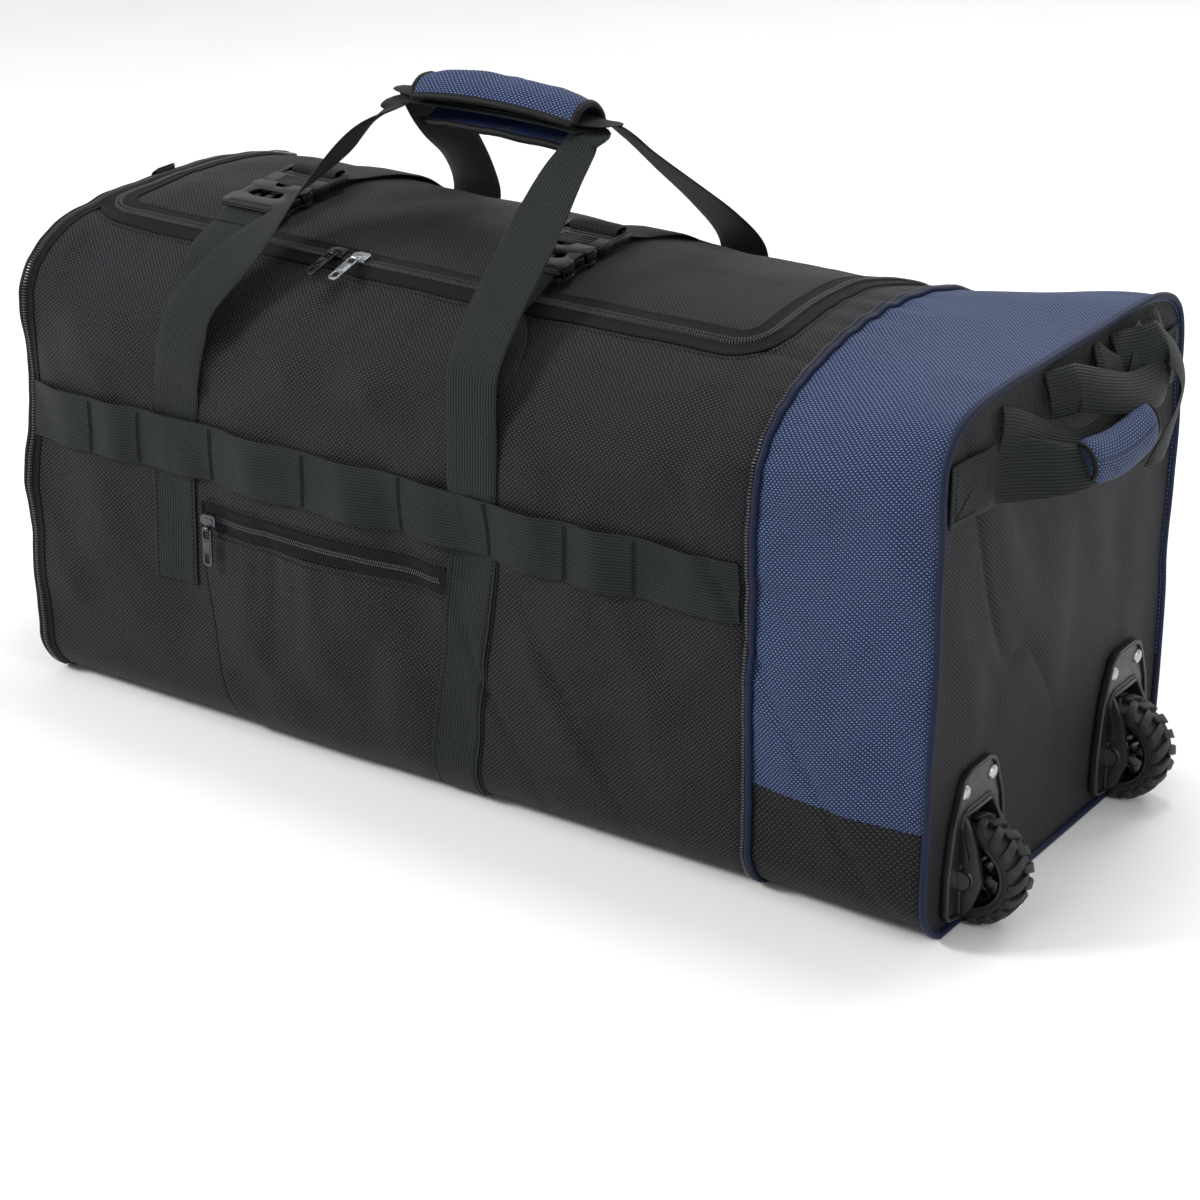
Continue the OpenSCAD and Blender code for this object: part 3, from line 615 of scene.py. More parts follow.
def resample(points, normals, pitch, start=0.0):
    """Points and normals at an even pitch along a line."""
    p, n = np.asarray(points, float), np.asarray(normals, float)
    s = np.concatenate([[0], np.cumsum(np.linalg.norm(np.diff(p, axis=0), axis=1))])
    at = np.arange(start, s[-1], pitch)
    q, m = (np.stack([np.interp(at, s, v[:, k]) for k in range(3)], 1) for v in (p, n))
    return q, m / np.linalg.norm(m, axis=1)[:, None]


BEAD = np.array([(-1, -1, -1), (1, -1, -1), (1, 1, -1), (-1, 1, -1),
                 (-0.7, -0.6, 1), (0.7, -0.6, 1), (0.7, 0.6, 1), (-0.7, 0.6, 1)], float)
BEAD_FACES = [(0, 3, 2, 1), (4, 5, 6, 7), (0, 1, 5, 4), (1, 2, 6, 5), (2, 3, 7, 6), (3, 0, 4, 7)]


def beads(name, runs, size, mat="coil", **what):
    """Zipper teeth or stitches; runs are (points, normals, skew)."""
    verts, faces = [], []
    for pts, nrm, skew in runs:
        t = np.gradient(pts, axis=0)
        t /= np.linalg.norm(t, axis=1)[:, None]
        b = np.cross(t, nrm)
        for i in range(len(pts)):
            faces += [tuple(len(verts) + k for k in f) for f in BEAD_FACES]
            along = t[i] + b[i] * skew
            verts += [pts[i] + along * (u * size[0] / 2) + b[i] * (v * size[1] / 2) + nrm[i] * (w * size[2] / 2)
                      for u, v, w in BEAD]
    return make(name, verts, faces, mat, smooth=False, outward=False, **what)


def stitch(name, lines, step=0.0042, size=(0.0028, 0.0008, 0.0007), body="bag"):
    """Stitches along (points, normals) lines."""
    return beads(name, [resample(p, n, step) + (0.0,) for p, n in lines], size, "thread", body=body)


def line_on_skin(pairs, off=0.0):
    """Points and normals along a list of (x, tau)."""
    return skin(*np.array(pairs, float).T, off)


def xs_between(a, b, step=0.006):
    return np.linspace(a, b, max(2, int(round((b - a) / step)) + 1))


def taus_of(zs, side, x):
    return np.array([tau_side(x, z, side) for z in zs])


def smooth_path(ctrl, n=60):
    """A Catmull-Rom curve through rows of numbers, n samples in all."""
    c = np.asarray(ctrl, float)
    c = np.concatenate([[2 * c[0] - c[1]], c, [2 * c[-1] - c[-2]]])
    out = []
    for t in np.linspace(0, len(c) - 3 - 1e-9, n):
        i, f = int(t), t - int(t)
        a, b, d, e = c[i:i + 4]
        out.append(0.5 * (2 * b + (d - a) * f + (2 * a - 5 * b + 4 * d - e) * f * f
                          + (3 * b - a - 3 * d + e) * f ** 3))
    return np.array(out)


def cut(o, boxes):
    """Cuts boxes out of a closed mesh."""
    for lo, hi in boxes:
        bm = bmesh.new()
        bmesh.ops.create_cube(bm, size=1)
        me = bpy.data.meshes.new("cutter")
        bm.to_mesh(me)
        bm.free()
        c = bpy.data.objects.new("cutter", me)
        bpy.context.scene.collection.objects.link(c)
        c.location = [(a + b) / 2 for a, b in zip(lo, hi)]
        c.scale = [b - a for a, b in zip(lo, hi)]
        mod = o.modifiers.new("cut", "BOOLEAN")
        mod.operation, mod.object, mod.solver = "DIFFERENCE", c, "EXACT"
        bpy.context.view_layer.update()
        result = bpy.data.meshes.new_from_object(o.evaluated_get(bpy.context.evaluated_depsgraph_get()))
        o.modifiers.remove(mod)
        o.data = result
        bpy.data.objects.remove(c)


# ---------------------------------------------------------------- shell of the bag
TYRE = np.array(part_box("rear_tyre"), float)
WHEEL = (TYRE[0] + TYRE[1]) / 2


def well_boxes():
    """The room for the wheel housings in the fabric."""
    lo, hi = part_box("wheel_housings")
    return [((lo[0] - 0.0003, y - 0.0243, -0.01), (hi[0] + 0.05, y + 0.0243, 0.0983))
            for y in (-WHEEL[1], WHEEL[1])]


def shell():
    body_xs = xs_between(FAR_X + 0.001, SEAM_X)
    for (side, tag), top_y in zip(SIDES, (LID_Y0 - 0.0012, LID_Y1 + 0.0012)):
        patch(f"woven_{tag}_panel", body_xs, base_at(side * BASE_HALF), top_at(top_y),
              104, replaces=[f"{tag}_panel"])
    base_xs = xs_between(FAR_X + 0.001, END_X - 0.002, 0.012)
    x, y = np.meshgrid(base_xs, np.linspace(-BASE_HALF, BASE_HALF, 30), indexing="ij")
    top = np.stack([x, y, np.zeros_like(x)], -1)
    down = np.zeros_like(top)
    down[..., 2] = -1
    cut(solid_sheet("woven_base", top, down, top[..., :2], 0.0028, "boot", replaces=["base_panel"]), well_boxes())
    for tag, xs in (("far", xs_between(FAR_X + 0.001, LID_X0 - 0.0006, 0.004)),
                    ("near", xs_between(LID_X1 + 0.0006, SEAM_X, 0.005))):
        patch(f"top_strip_{tag}", xs, top_at(LID_Y0 - 0.0012), top_at(LID_Y1 + 0.001), 60,
              replaces=["top_end_strips"])
    patch("woven_lid", xs_between(LID_X0, LID_X1), top_at(LID_Y0), top_at(LID_Y1 - 0.0006),
          60, body="lid", replaces=["lid_panel"])
    band_xs = xs_between(BAND_X, END_X - 0.001, 0.0055)
    patch("blue_band", band_xs, side_at(BOOT_Z, FRONT), side_at(BOOT_Z, REAR),
          210, "blue", replaces=["compartment_band"])
    for side, tag in SIDES:
        patch(f"corner_boot_{tag}", band_xs, base_at(side * BASE_HALF),
              side_at(BOOT_Z, side), 34, "boot", replaces=["corner_boots"])


class EndFace:
    """The soft end panel of the bag at x, facing out; at() gives its surface over a point (y, z)."""

    def __init__(self, x, out, bulge):
        self.x, self.out, self.bulge = x, out, bulge
        total = sec(x)[0][-1]
        self.tau = np.linspace(-total, total, 260, endpoint=False)
        self.rim = skin(x, self.tau, -0.0015)[0]
        self.mid = np.array([x, 0, 0.21])
        d = self.rim - self.mid
        ang = np.arctan2(d[:, 2], d[:, 1])
        order = np.argsort(ang)
        self.ang, self.far = ang[order], np.hypot(d[:, 1], d[:, 2])[order]

    def rise(self, y, z, k):
        """How far the panel stands out, k being 0 in its middle and 1 at its rim."""
        swell = self.bulge * (1 - k ** 3.2) * ease(z, 0.06, 0.24)
        ripple = 0.0030 * noise(y * 9 + self.x * 5, z * 9, 2.5) + 0.0018 * noise(y * 28, z * 12, 7.5)
        ripple = ripple + 0.0030 * noise(y * 30 + z * 16, z * 6, 1.5) * ease(z, 0.10, 0.28)
        crease = (1 - np.abs(noise(y * 15 + z * 5, z * 2.4 - y, 6.1))) ** 6
        ripple = ripple - 0.0042 * crease * ease(z, 0.08, 0.24)
        soft = (1 - k ** 8) * (0.25 + 0.75 * np.clip(self.bulge / 0.004, 0, 1))
        # kept in front of the board behind it
        return np.maximum(swell + ripple * soft, -0.0004)

    def at(self, y, z, off=0.0):
        y, z = np.asarray(y, float), np.asarray(z, float)
        d = np.hypot(y, z - self.mid[2])
        far = np.interp(np.arctan2(z - self.mid[2], y), self.ang, self.far, period=2 * math.pi)
        x = self.x + self.out * (self.rise(y, z, np.clip(d / far, 0, 1)) + off)
        return np.stack([x, y, z], -1)

    def panel(self, name, node, wells=()):
        """The panel itself, in rings from its rim to its middle."""
        rings, count = 64, len(self.tau)
        top = np.zeros((rings, count, 3))
        for i, k in enumerate(np.linspace(1, 0.02, rings)):
            top[i] = self.mid + (self.rim - self.mid) * k
            top[i, :, 0] = self.x + self.out * self.rise(top[i, :, 1], top[i, :, 2], k)
        low = top - np.array([self.out * 0.0026, 0, 0])
        n = rings * count
        faces = grid_faces(rings, count, wrap_r=True)
        faces += [tuple(n + i for i in reversed(f)) for f in faces]
        faces += [((j + 1) % count, j, n + j, n + (j + 1) % count) for j in range(count)]
        inner = [(rings - 1) * count + j for j in range(count)]
        faces += [tuple(inner), tuple(n + i for i in reversed(inner))]
        verts = np.concatenate([top.reshape(-1, 3), low.reshape(-1, 3)])
        o = make(name, verts, faces, "body", verts[:, 1:], None, [node])
        cut(o, wells)
        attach(o, "bag")

    def sheet(self, name, ys, zs, off, thick, mat, puff=0.0, turn=False, **what):
        """A flat piece lying on the end face over a grid of ys and zs; puff lifts its middle."""
        y, z = np.meshgrid(ys, zs, indexing="ij")
        u, v = np.linspace(0, math.pi, len(ys))[:, None], np.linspace(0, math.pi, len(zs))[None, :]
        pts = self.at(y, z, off + puff * (np.sin(u) * np.sin(v)) ** 0.7)
        nrm = np.zeros_like(pts)
        nrm[..., 0] = self.out
        return solid_sheet(name, pts, nrm, np.stack([z, y] if turn else [y, z], -1), thick, mat, **what)


shell()
FAR = EndFace(FAR_X + 0.002, -1, 0.0006)
END = EndFace(END_X - 0.002, 1, 0.004)
FAR.panel("woven_far_end", "far_end_panel")
END.panel("woven_wheel_end", "wheel_end_panel", well_boxes())


# ---------------------------------------------------------------- piping and the compartment zippers
def loop_line(x, off, n=300):
    """Points and normals once round the bag at x."""
    total = sec(x)[0][-1]
    p, nr = skin(x, np.linspace(-total, total, n, endpoint=False), off)
    p[:, 2] = np.maximum(p[:, 2], PIPING_Z)
    return p, nr


for name, x, off, radius, mat, what in (
        ("end_piping", END_X - 0.001, 0.0006, 0.0031, "piping", {"replaces": ["wheel_end_piping"]}),
        ("seam_piping_cord", PIPE_X, 0.0006, 0.0029, "piping", {"replaces": ["seam_piping"]}),
        ("far_rim_piping", FAR_X + 0.001, 0.0004, 0.0027, "black_piping", {"slot": "zipper_tape"})):
    tube(name, loop_line(x, off)[0], radius, mat, closed=True, **what)
boot_line = [(x, tau_base(x, -BASE_HALF - 0.012)) for x in xs_between(PIPE_X, END_X - 0.002, 0.008)]
boot, _ = line_on_skin(boot_line, 0.0008)
boot[:, 2] = np.maximum(boot[:, 2], PIPING_Z)
for side, tag in SIDES:
    tube(f"boot_piping_{tag}", boot * np.array([1, -side, 1]), 0.0027, "piping")

for tag, x0, x1, rise, cols, coil_x, coil_rise, node in (
        ("seam_zip", SEAM_X + 0.0002, PIPE_X - 0.0012, 0.0006, 4, SEAM_X + 0.0028, 0.0018, "seam_zipper"),
        ("far_rim", FAR_X + 0.0035, FAR_X + 0.0135, 0.0010, 5, FAR_X + 0.0050, 0.0022, "far_rim_zipper")):
    patch(f"{tag}_tape", np.linspace(x0, x1, cols), lambda x: -sec(x)[0][-1] + 0.004,
          lambda x: sec(x)[0][-1] - 0.004, 320, "tape", rise, 0.0014, 0.0, replaces=[node])
    p, n = loop_line(coil_x, coil_rise, 900)
    keep = p[:, 2] > 0.004
    beads(f"{tag}_coil", [resample(p[keep], n[keep], 0.0026) + (0.25,)], (0.0015, 0.0042, 0.0022))


# ---------------------------------------------------------------- lid zipper
def zip_line(inset):
    """The U of the lid zipper as (x, y) pairs, rounded at its two front corners."""
    r = 0.030 - inset
    xa, xb, y0, y1 = LID_X0 - 0.0003 + inset, LID_X1 + 0.0003 - inset, LID_Y0 - 0.0003 + inset, LID_Y1 - 0.008
    turn = np.linspace(0, math.pi / 2, 12)[1:]
    pts = [(xa, y) for y in np.linspace(y1, y0 + r, 40)]
    pts += [(xa + r - r * math.cos(a), y0 + r - r * math.sin(a)) for a in turn]
    pts += [(x, y0) for x in np.linspace(xa + r, xb - r, 110)[1:]]
    pts += [(xb - r + r * math.sin(a), y0 + r - r * math.cos(a)) for a in turn]
    return pts + [(xb, y) for y in np.linspace(y0 + r, y1, 40)[1:]]


def tape_strip(name, inner, outer, off, thick, mat, across=4, **what):
    """A strip between two matched lines given as (x, y) on the top."""
    c = len(inner)
    top, nr, uv = np.zeros((c, across, 3)), np.zeros((c, across, 3)), np.zeros((c, across, 2))
    run = 0.0
    for i, (a, b) in enumerate(zip(inner, outer)):
        if i:
            run += math.dist(a, inner[i - 1])
        for j, k in enumerate(np.linspace(0, 1, across)):
            x, y = a[0] + (b[0] - a[0]) * k, a[1] + (b[1] - a[1]) * k
            top[i, j], nr[i, j] = skin(x, tau_top(x, y), off)
            uv[i, j] = (run, k * math.dist(a, b))
    return solid_sheet(name, top, nr, uv, thick, mat, **what)


def on_top(inset, off):
    return line_on_skin([(x, tau_top(x, y)) for x, y in zip_line(inset)], off)


for body, tag, s in (("lid", "lid", 1), ("bag", "body", -1)):
    tape_strip(f"{tag}_zip_tape", zip_line(s * 0.0006), zip_line(s * TAPE), 0.0011, 0.0012, "tape", body=body,
               replaces=[f"main_zip_{tag}_side"])
for body, s in (("lid", 1), ("bag", -1)):
    row = resample(*on_top(s * 0.0016, 0.0022), 0.0024, 0.0012 if s > 0 else 0.0)
    beads(f"{body}_zip_coil", [row + (s * 0.35,)], (0.0013, 0.0034, 0.0020), body=body)
# rows of stitching beside the tape
for k, (body, inset, off) in enumerate((("lid", TAPE - 0.0022, 0.0014), ("bag", -TAPE + 0.0022, 0.0014),
                                        ("bag", -TAPE - 0.004, 0.0003))):
    stitch(f"zip_stitching_{k}", [on_top(inset, off)], size=(0.0028, 0.0007, 0.0006), body=body)


# ---------------------------------------------------------------- hard parts
def rounded(points, radius, n=4):
    """A polygon with its corners rounded; radius is one number or one for each corner."""
    pts = np.asarray(points, float)
    radii = np.broadcast_to(np.asarray(radius, float), (len(pts),))
    out = []
    for i, p in enumerate(pts):
        a, b = pts[i - 1] - p, pts[(i + 1) % len(pts)] - p
        la, lb = np.linalg.norm(a), np.linalg.norm(b)
        a, b = a / la, b / lb
        half = math.acos(float(np.clip(a @ b, -1, 1))) / 2
        d = min(radii[i] / math.tan(half), 0.49 * min(la, lb))
        s, e = p + a * d, p + b * d
        out += [(1 - t) ** 2 * s + 2 * t * (1 - t) * p + t * t * e for t in np.linspace(0, 1, n + 1)]
    return out


def rect(x0, x1, y0, y1, radius, n=4):
    """A rounded rectangle; either pair of limits may come in any order."""
    (x0, x1), (y0, y1) = sorted((x0, x1)), sorted((y0, y1))
    return rounded([(x0, y0), (x1, y0), (x1, y1), (x0, y1)], radius, n)


def circle(cx, cy, r, n, start):
    turn = [start + 2 * math.pi * i / n for i in range(n)]
    return [(cx + r * math.cos(a), cy + r * math.sin(a)) for a in turn]


def place(x, y, z, rx=0.0, rz=0.0):
    return Matrix.Translation((x, y, z)) @ Matrix.Rotation(rz, 4, "Z") @ Matrix.Rotation(rx, 4, "X")


class Part:
    """A hard piece gathered from closed shells, drawn in millimetres in its own frame."""

    def __init__(self):
        self.v, self.f = [], []

    def add(self, verts, faces):
        n = len(self.v)
        self.v += [tuple(float(c) for c in v) for v in verts]
        self.f += [tuple(n + i for i in f) for f in faces]
        return self

    def prism(self, outline, z0, z1, hole=None, axis=2):
        """An outline across axis, between z0 and z1; a hole has as many points as the outline."""
        n = len(outline)
        z0, z1 = sorted((z0, z1))

        def lift(pts, z):
            return [np.insert(np.asarray(p, float), axis, z) for p in pts]

        nxt = [(i, (i + 1) % n) for i in range(n)]
        side = [(i, j, n + j, n + i) for i, j in nxt]
        verts = lift(outline, z0) + lift(outline, z1)
        if hole is None:
            return self.add(verts, side + [tuple(reversed(range(n))), tuple(range(n, 2 * n))])
        m = 2 * n
        faces = side + [(m + j, m + i, m + n + i, m + n + j) for i, j in nxt]
        faces += [(j, i, m + i, m + j) for i, j in nxt]
        faces += [(n + i, n + j, m + n + j, m + n + i) for i, j in nxt]
        return self.add(verts + lift(hole, z0) + lift(hole, z1), faces)

    def lathe(self, profile, n=48, axis=2, at=(0, 0, 0)):
        """A closed profile of (radius, height) turned about an axis."""
        verts = []
        for i in range(n):
            a = 2 * math.pi * i / n
            verts += [np.insert([r * math.cos(a), r * math.sin(a)], axis, h) + at for r, h in profile]
        return self.add(verts, grid_faces(n, len(profile), wrap_c=True, wrap_r=True))

    def build(self, name, mat, body, matrix, bevel=0.5, replaces=()):
        bm = bmesh.new()
        vs = [bm.verts.new(v) for v in self.v]
        for f in self.f:
            bm.faces.new([vs[i] for i in f])
        bmesh.ops.recalc_face_normals(bm, faces=bm.faces)
        if bevel:
            edges = [e for e in bm.edges if e.calc_face_angle(0) > 0.6]
            bmesh.ops.bevel(bm, geom=edges, offset=bevel, segments=2, profile=0.5, affect="EDGES", clamp_overlap=True)
        for e in bm.edges:
            e.smooth = e.calc_face_angle(0) < 0.75
        layer = bm.loops.layers.uv.new("UVMap")
        for f in bm.faces:
            f.smooth = True
            k = max(range(3), key=lambda c: abs(f.normal[c]))
            for loop in f.loops:
                loop[layer].uv = [v * 0.001 for i, v in enumerate(loop.vert.co) if i != k]
        me = bpy.data.meshes.new(name)
        bm.to_mesh(me)
        bm.free()
        me.transform(matrix @ Matrix.Scale(0.001, 4))
        return dress(bpy.data.objects.new(name, me), mat, body, replaces)


# ---------------------------------------------------------------- webbing sewn on the sides
def far_x(z):
    """Middle of the carry webbing nearer the far end, at height z."""
    return WEB_X[0] - 0.012 * (1 - np.clip(np.asarray(z, float) / 0.30, 0, 1))


def near_x(z):
    """Middle of the carry webbing nearer the wheels."""
    return WEB_X[1] + 0.004 + 0.115 * (np.asarray(z, float) - 0.230)


def pocket_edge_x(z):
    """The curved seam at the far edge of the pocket."""
    return -0.257 + 0.036 * (1 - z / 0.19) ** 2


# where the lashing webbing is tacked down
TACKS = np.array((-0.432, -0.372, -0.320, -0.242, -0.141, -0.042, 0.047, 0.124, 0.185, 0.262))
# the front webbing nearer the far end starts at this height
SHORT_Z = 0.128


def loops(x, side):
    """How far the lashing webbing stands out between its tacks and over the carry webbings."""
    k = np.clip(np.searchsorted(TACKS, x) - 1, 0, len(TACKS) - 2)
    u = np.clip((x - TACKS[k]) / (TACKS[k + 1] - TACKS[k]), 0, 1)
    over = bump(x, WEB_X[0], 0.045) + bump(x, WEB_X[1] + 0.006, 0.045)
    wave = 0.0058 * np.sin(math.pi * u) ** 2 * (0.75 + 0.5 * noise(x * 0 + k * 1.7, 2.5 + side, 0.5))
    return wave + 0.0022 * over


for side, tag in SIDES:
    lines = []
    for which, xf in (("far", far_x), ("near", near_x)):
        zs = np.concatenate([np.linspace(0.006, 0.06, 14), np.linspace(0.07, 0.288, 48)])
        if side == FRONT and which == "far":
            zs = zs[zs > SHORT_Z]
        taus = taus_of(zs, side, -0.1)
        strip(f"side_webbing_{which}_{tag}", xf(zs), taus, 0.046, 0.0026, replaces=["side_webbings"])
        lines += [skin(xf(zs) + edge, taus, 0.0027) for edge in (-0.0195, 0.0195)]
    stitch(f"side_webbing_stitches_{tag}", lines)
    low, high = DAISY_LO[2], DAISY_HI[2]
    patch(f"lashing_webbing_{tag}", xs_between(FAR_X + 0.008, SEAM_X - 0.004, 0.003), side_at(low, side),
          side_at(high, side), 11, "webbing", 0.0030, WEB_T, 0.0, lambda x, tau: loops(x, side),
          replaces=["daisy_chains"])
    zs = np.linspace(low + 0.002, high - 0.002, 24)
    tacks = [skin(x + dx, taus_of(zs, side, x), 0.0034 + float(loops(np.array([x]), side)[0]))
             for x in TACKS[1:-1] for dx in (-0.0011, 0.0011)]
    stitch(f"lashing_tacks_{tag}", tacks, 0.0022, (0.0016, 0.0010, 0.0012))
    # seams beside the webbing
    for name, top, count, xf, x in (("pocket_seam", 0.19, 40, pocket_edge_x, -0.25),
                                    ("side_seam", 0.245, 48, lambda z: near_x(z) + 0.0245, 0.05)):
        zs = np.linspace(0.004, top, count)
        tube(f"{name}_{tag}", skin(xf(zs), taus_of(zs, side, x), 0.0003)[0], 0.0011, "black_piping", seg=8,
             slot="body_fabric")


# ---------------------------------------------------------------- front pocket
def front_at(x, z, off):
    """Points and normals along x at height z of the front side."""
    return skin(x, taus_of([z], FRONT, -0.1)[0], off)


def coil_rows(line, pitch=0.0022):
    """The two rows of a zipper's teeth; line(dz) gives points and normals dz above its middle."""
    return [resample(*line(s * COIL_GAP), pitch, 0.0011 if s > 0 else 0.0) + (-0.3 * s,) for s in (-1, 1)]


POCKET_X0, POCKET_X1 = -0.258, 0.000
u = np.linspace(0, 1, 100)[:, None]
zs = np.linspace(0.010, 0.188, 60)
v = (zs / 0.188)[None, :]
x0, x1 = pocket_edge_x(zs), near_x(zs) - 0.020
X = x0[None, :] + (x1 - x0)[None, :] * u
T = np.repeat(taus_of(zs, FRONT, -0.13)[None, :], 100, 0)
puff = 0.0035 * np.sin(math.pi * u) ** 0.6 * np.sin(math.pi * v) ** 0.7
near_zip = np.exp(-((zs - 0.182) / 0.05) ** 2)[None, :]
gathers = 0.0016 * noise(X * 38, v * 1.6, 0.4) * near_zip * np.sin(math.pi * u)
edge = np.clip(np.minimum(u, 1 - u) * 0.24 / 0.006, 0, 1)
pts, nrm = skin(X, T, 0.0016 + (puff + gathers) - 0.0014 * (1 - edge) ** 2)
solid_sheet("pocket_panel", pts, nrm, np.stack([X, T], -1), 0.0018, "body", replaces=["front_pocket_panel"])
patch("pocket_zip_tape", xs_between(POCKET_X0 + 0.001, POCKET_X1 + 0.002, 0.004), side_at(0.1885, FRONT),
      side_at(0.2115, FRONT), 9, "tape", 0.0013, 0.0012, 0.0, replaces=["front_pocket_zipper"])
xs = xs_between(POCKET_X0 + 0.005, POCKET_X1 - 0.003, 0.003)
beads("pocket_zip_coil", coil_rows(lambda dz: front_at(xs, FRONT_ZIP_Z + dz, 0.0019)), (0.0012, 0.0026, 0.0018))
SEWN = (0.1905, 0.0014), (0.2095, 0.0014), (0.2150, 0.0004), (0.1840, 0.0030)
stitch("pocket_stitches", [front_at(xs, z, off) for z, off in SEWN])
for k, x in enumerate((POCKET_X0 + 0.002, POCKET_X1 + 0.001)):
    z = np.linspace(0.1895, 0.2105, 12)
    stitch(f"pocket_zip_end_{k}", [skin(np.full(12, x + d), taus_of(z, FRONT, x), 0.0018) for d in (0, 0.0016)],
           0.0018, (0.0014, 0.0012, 0.0012))


# ---------------------------------------------------------------- sliders and pulls
def slider_part():
    p = Part()
    half = [(8, 2.6), (3.5, 5.4), (-6.5, 5.2), (-8, 3.4)]
    p.prism(rounded([(-a, -b) for a, b in half] + [(-a, b) for a, b in half[::-1]], 1.2, 2), 3.3, 4.9)
    for s in (-1, 1):
        p.prism(rect(-3.4, 7, s * 4.3, s * 5.4, 0.4, 2), 0.6, 3.6)
    p.prism(rect(-3.6, 5.4, -2.3, 2.3, 1.4), 4.7, 5.7)
    p.prism(rect(-9.2, -5.0, 4.3, 8.6, 1.9), -2.7, 2.7, circle(-7.2, 6.4, 1.2, 20, -2.6), axis=0)
    p.prism(rect(-2.7, 2.7, -6.0, -2.0, 0.6, 2), 4.3, 5.4)
    return p


def pull(name, mat, at):
    p = Part()
    p.prism(rect(-4.8, 4.8, -10.5, 1.0, 1.6), -0.9, 0.9, rect(-3.5, 3.5, -8.6, -1.0, 1.0))
    p.prism(rect(-4.8, 4.8, -22.5, -9.6, 0.8), -0.9, 0.9)
    p.prism(rect(-3.2, 3.2, -21.0, -11.4, 1.0), -1.3, 1.3)
    p.prism(rect(-4.8, 4.8, -34.0, -21.6, [4.2, 4.2, 0.8, 0.8]), -0.9, 0.9,
            rect(-2.6, 2.6, -31.6, -23.2, [2.4, 2.4, 1, 1]))
    p.build("zip_" + name, mat, name, at, 0.25, [name])


def rig(slider, tab, at, mat="black_metal"):
    """A slider with its pull hanging in its loop."""
    slider_part().build("zip_" + slider, mat, slider, at, 0.3, [slider])
    pull(tab, mat, at @ Matrix.Translation((0, -0.0072, 0.0064)))


def crown(y):
    """Height of the top at y."""
    return TOP_Z - CROWN_R + math.sqrt(CROWN_R * CROWN_R - y * y)


for tag, x, mat in (("left", -0.172, "black_metal"), ("right", -0.148, "nickel")):
    at = place(x, LID_Y0 - 0.0003, crown(LID_Y0) + 0.0013, math.asin(-LID_Y0 / CROWN_R))
    rig(f"main_slider_{tag}", f"main_pull_{tag}", at, mat)
upright = math.pi / 2
rig("front_pocket_slider", "front_pocket_pull", place(-0.242, -HALF_W - 0.0015, FRONT_ZIP_Z, upright))
rig("mesh_pocket_slider", "mesh_pocket_pull", place(FAR_X - 0.0015, -0.150, MESH_ZIP_Z, upright, -upright))
p = Part()
p.prism(rect(282.2, 288.4, 142, 158, 2.4), 201.2, 203.6, axis=1)
p.prism(rect(283.0, 287.4, 149, 156, 1.4), 203.4, 204.6, axis=1)
p.prism(rect(202.4, 207.0, 143.2, 149.2, 1.9), 283.8, 287.0, circle(204.6, 146.0, 1.15, 20, -2.6), axis=0)
p.build("zip_storage_slider", "black_metal", "storage_slider", Matrix.Identity(4), 0.3, ["storage_slider"])
pull("storage_pull", "black_metal", place(0.2854, HALF_W + 0.0046, 0.146, upright))

# ---------------------------------------------------------------- buckles and the straps over the lid
BUCKLE_Y = -0.036
PRONG = [(10, 2.6), (10, -22), (14, -29.4), (21, -29.4), (27.3, -18), (27.3, -13.4), (16, -13.2), (15, 2.6)]
# half outlines of the socket: its mouth, and its flank down to the strap
MOUTH = [(9, 2), (5.5, -7)]
FLANK = [(28, 2), (30, -4), (30, -9), (26.5, -13), (26.5, -29), (30, -33), (30, -45), (27, -53)]
STRAP = 0.047
# the strap from the socket down to the side: (distance forward, height over the crown), then
# (share of its slant, y) where it lies on the fabric
OVER_ZIP = (0.0975, 0.0098), (0.1038, 0.0088), (0.1052, 0.0086), (0.120, 0.0068), (0.136, 0.0034)
ON_FABRIC = (0.5, -0.150), (0.8, -0.165), (1.0, -0.180), (1.1, -0.190)


def on_buckle(x):
    """The frame of the buckle at x."""
    return place(x, BUCKLE_Y, crown(BUCKLE_Y) + 0.0085, math.asin(-BUCKLE_Y / CROWN_R))


def in_buckle(x, y, z):
    v = on_buckle(x) @ Vector((0, y, z))
    return (x, v.y, v.z)


def socket(tag, at):
    p = Part()
    outline = MOUTH + [(-a, b) for a, b in MOUTH[::-1] + FLANK] + FLANK[::-1]
    plate = rounded(outline, 2.0, 3)
    # the opening follows the plate's own points, so that both have as many
    turn = np.array([math.atan2(b + 25, a) for a, b in plate])
    reach = ((np.abs(np.cos(turn)) / 17) ** 4 + (np.abs(np.sin(turn)) / 7.5) ** 4) ** -0.25
    p.prism(plate, 3.9, 6.5, [(r * math.cos(t), -25 + r * math.sin(t)) for r, t in zip(reach, turn)])
    p.prism(plate, -6.5, -3.9)
    for s in (-1, 1):
        for y0, y1 in ((-41, -30.6), (-11.4, 1.4)):
            p.prism(rect(s * 23.8, s * 29.2, y0, y1, 1.0, 2), -4.2, 4.2)
    p.prism(rect(-28, 28, -44.6, -40.4, 1.2), -4.2, 4.2)
    p.prism(rect(-28.5, 28.5, -52.8, -49.8, 1.0), 1.7, 4.2)
    p.prism(rect(-28.5, 28.5, -52.8, -49.8, 1.0), -4.2, -1.7)
    for y in (-48, -46):
        p.prism(rect(-22, 22, y - 0.5, y + 0.5, 0.4, 2), 6.2, 7.0)
    p.build(f"buckle_socket_{tag}", "plastic", "lid", at, 0.6, ["buckle_sockets"])


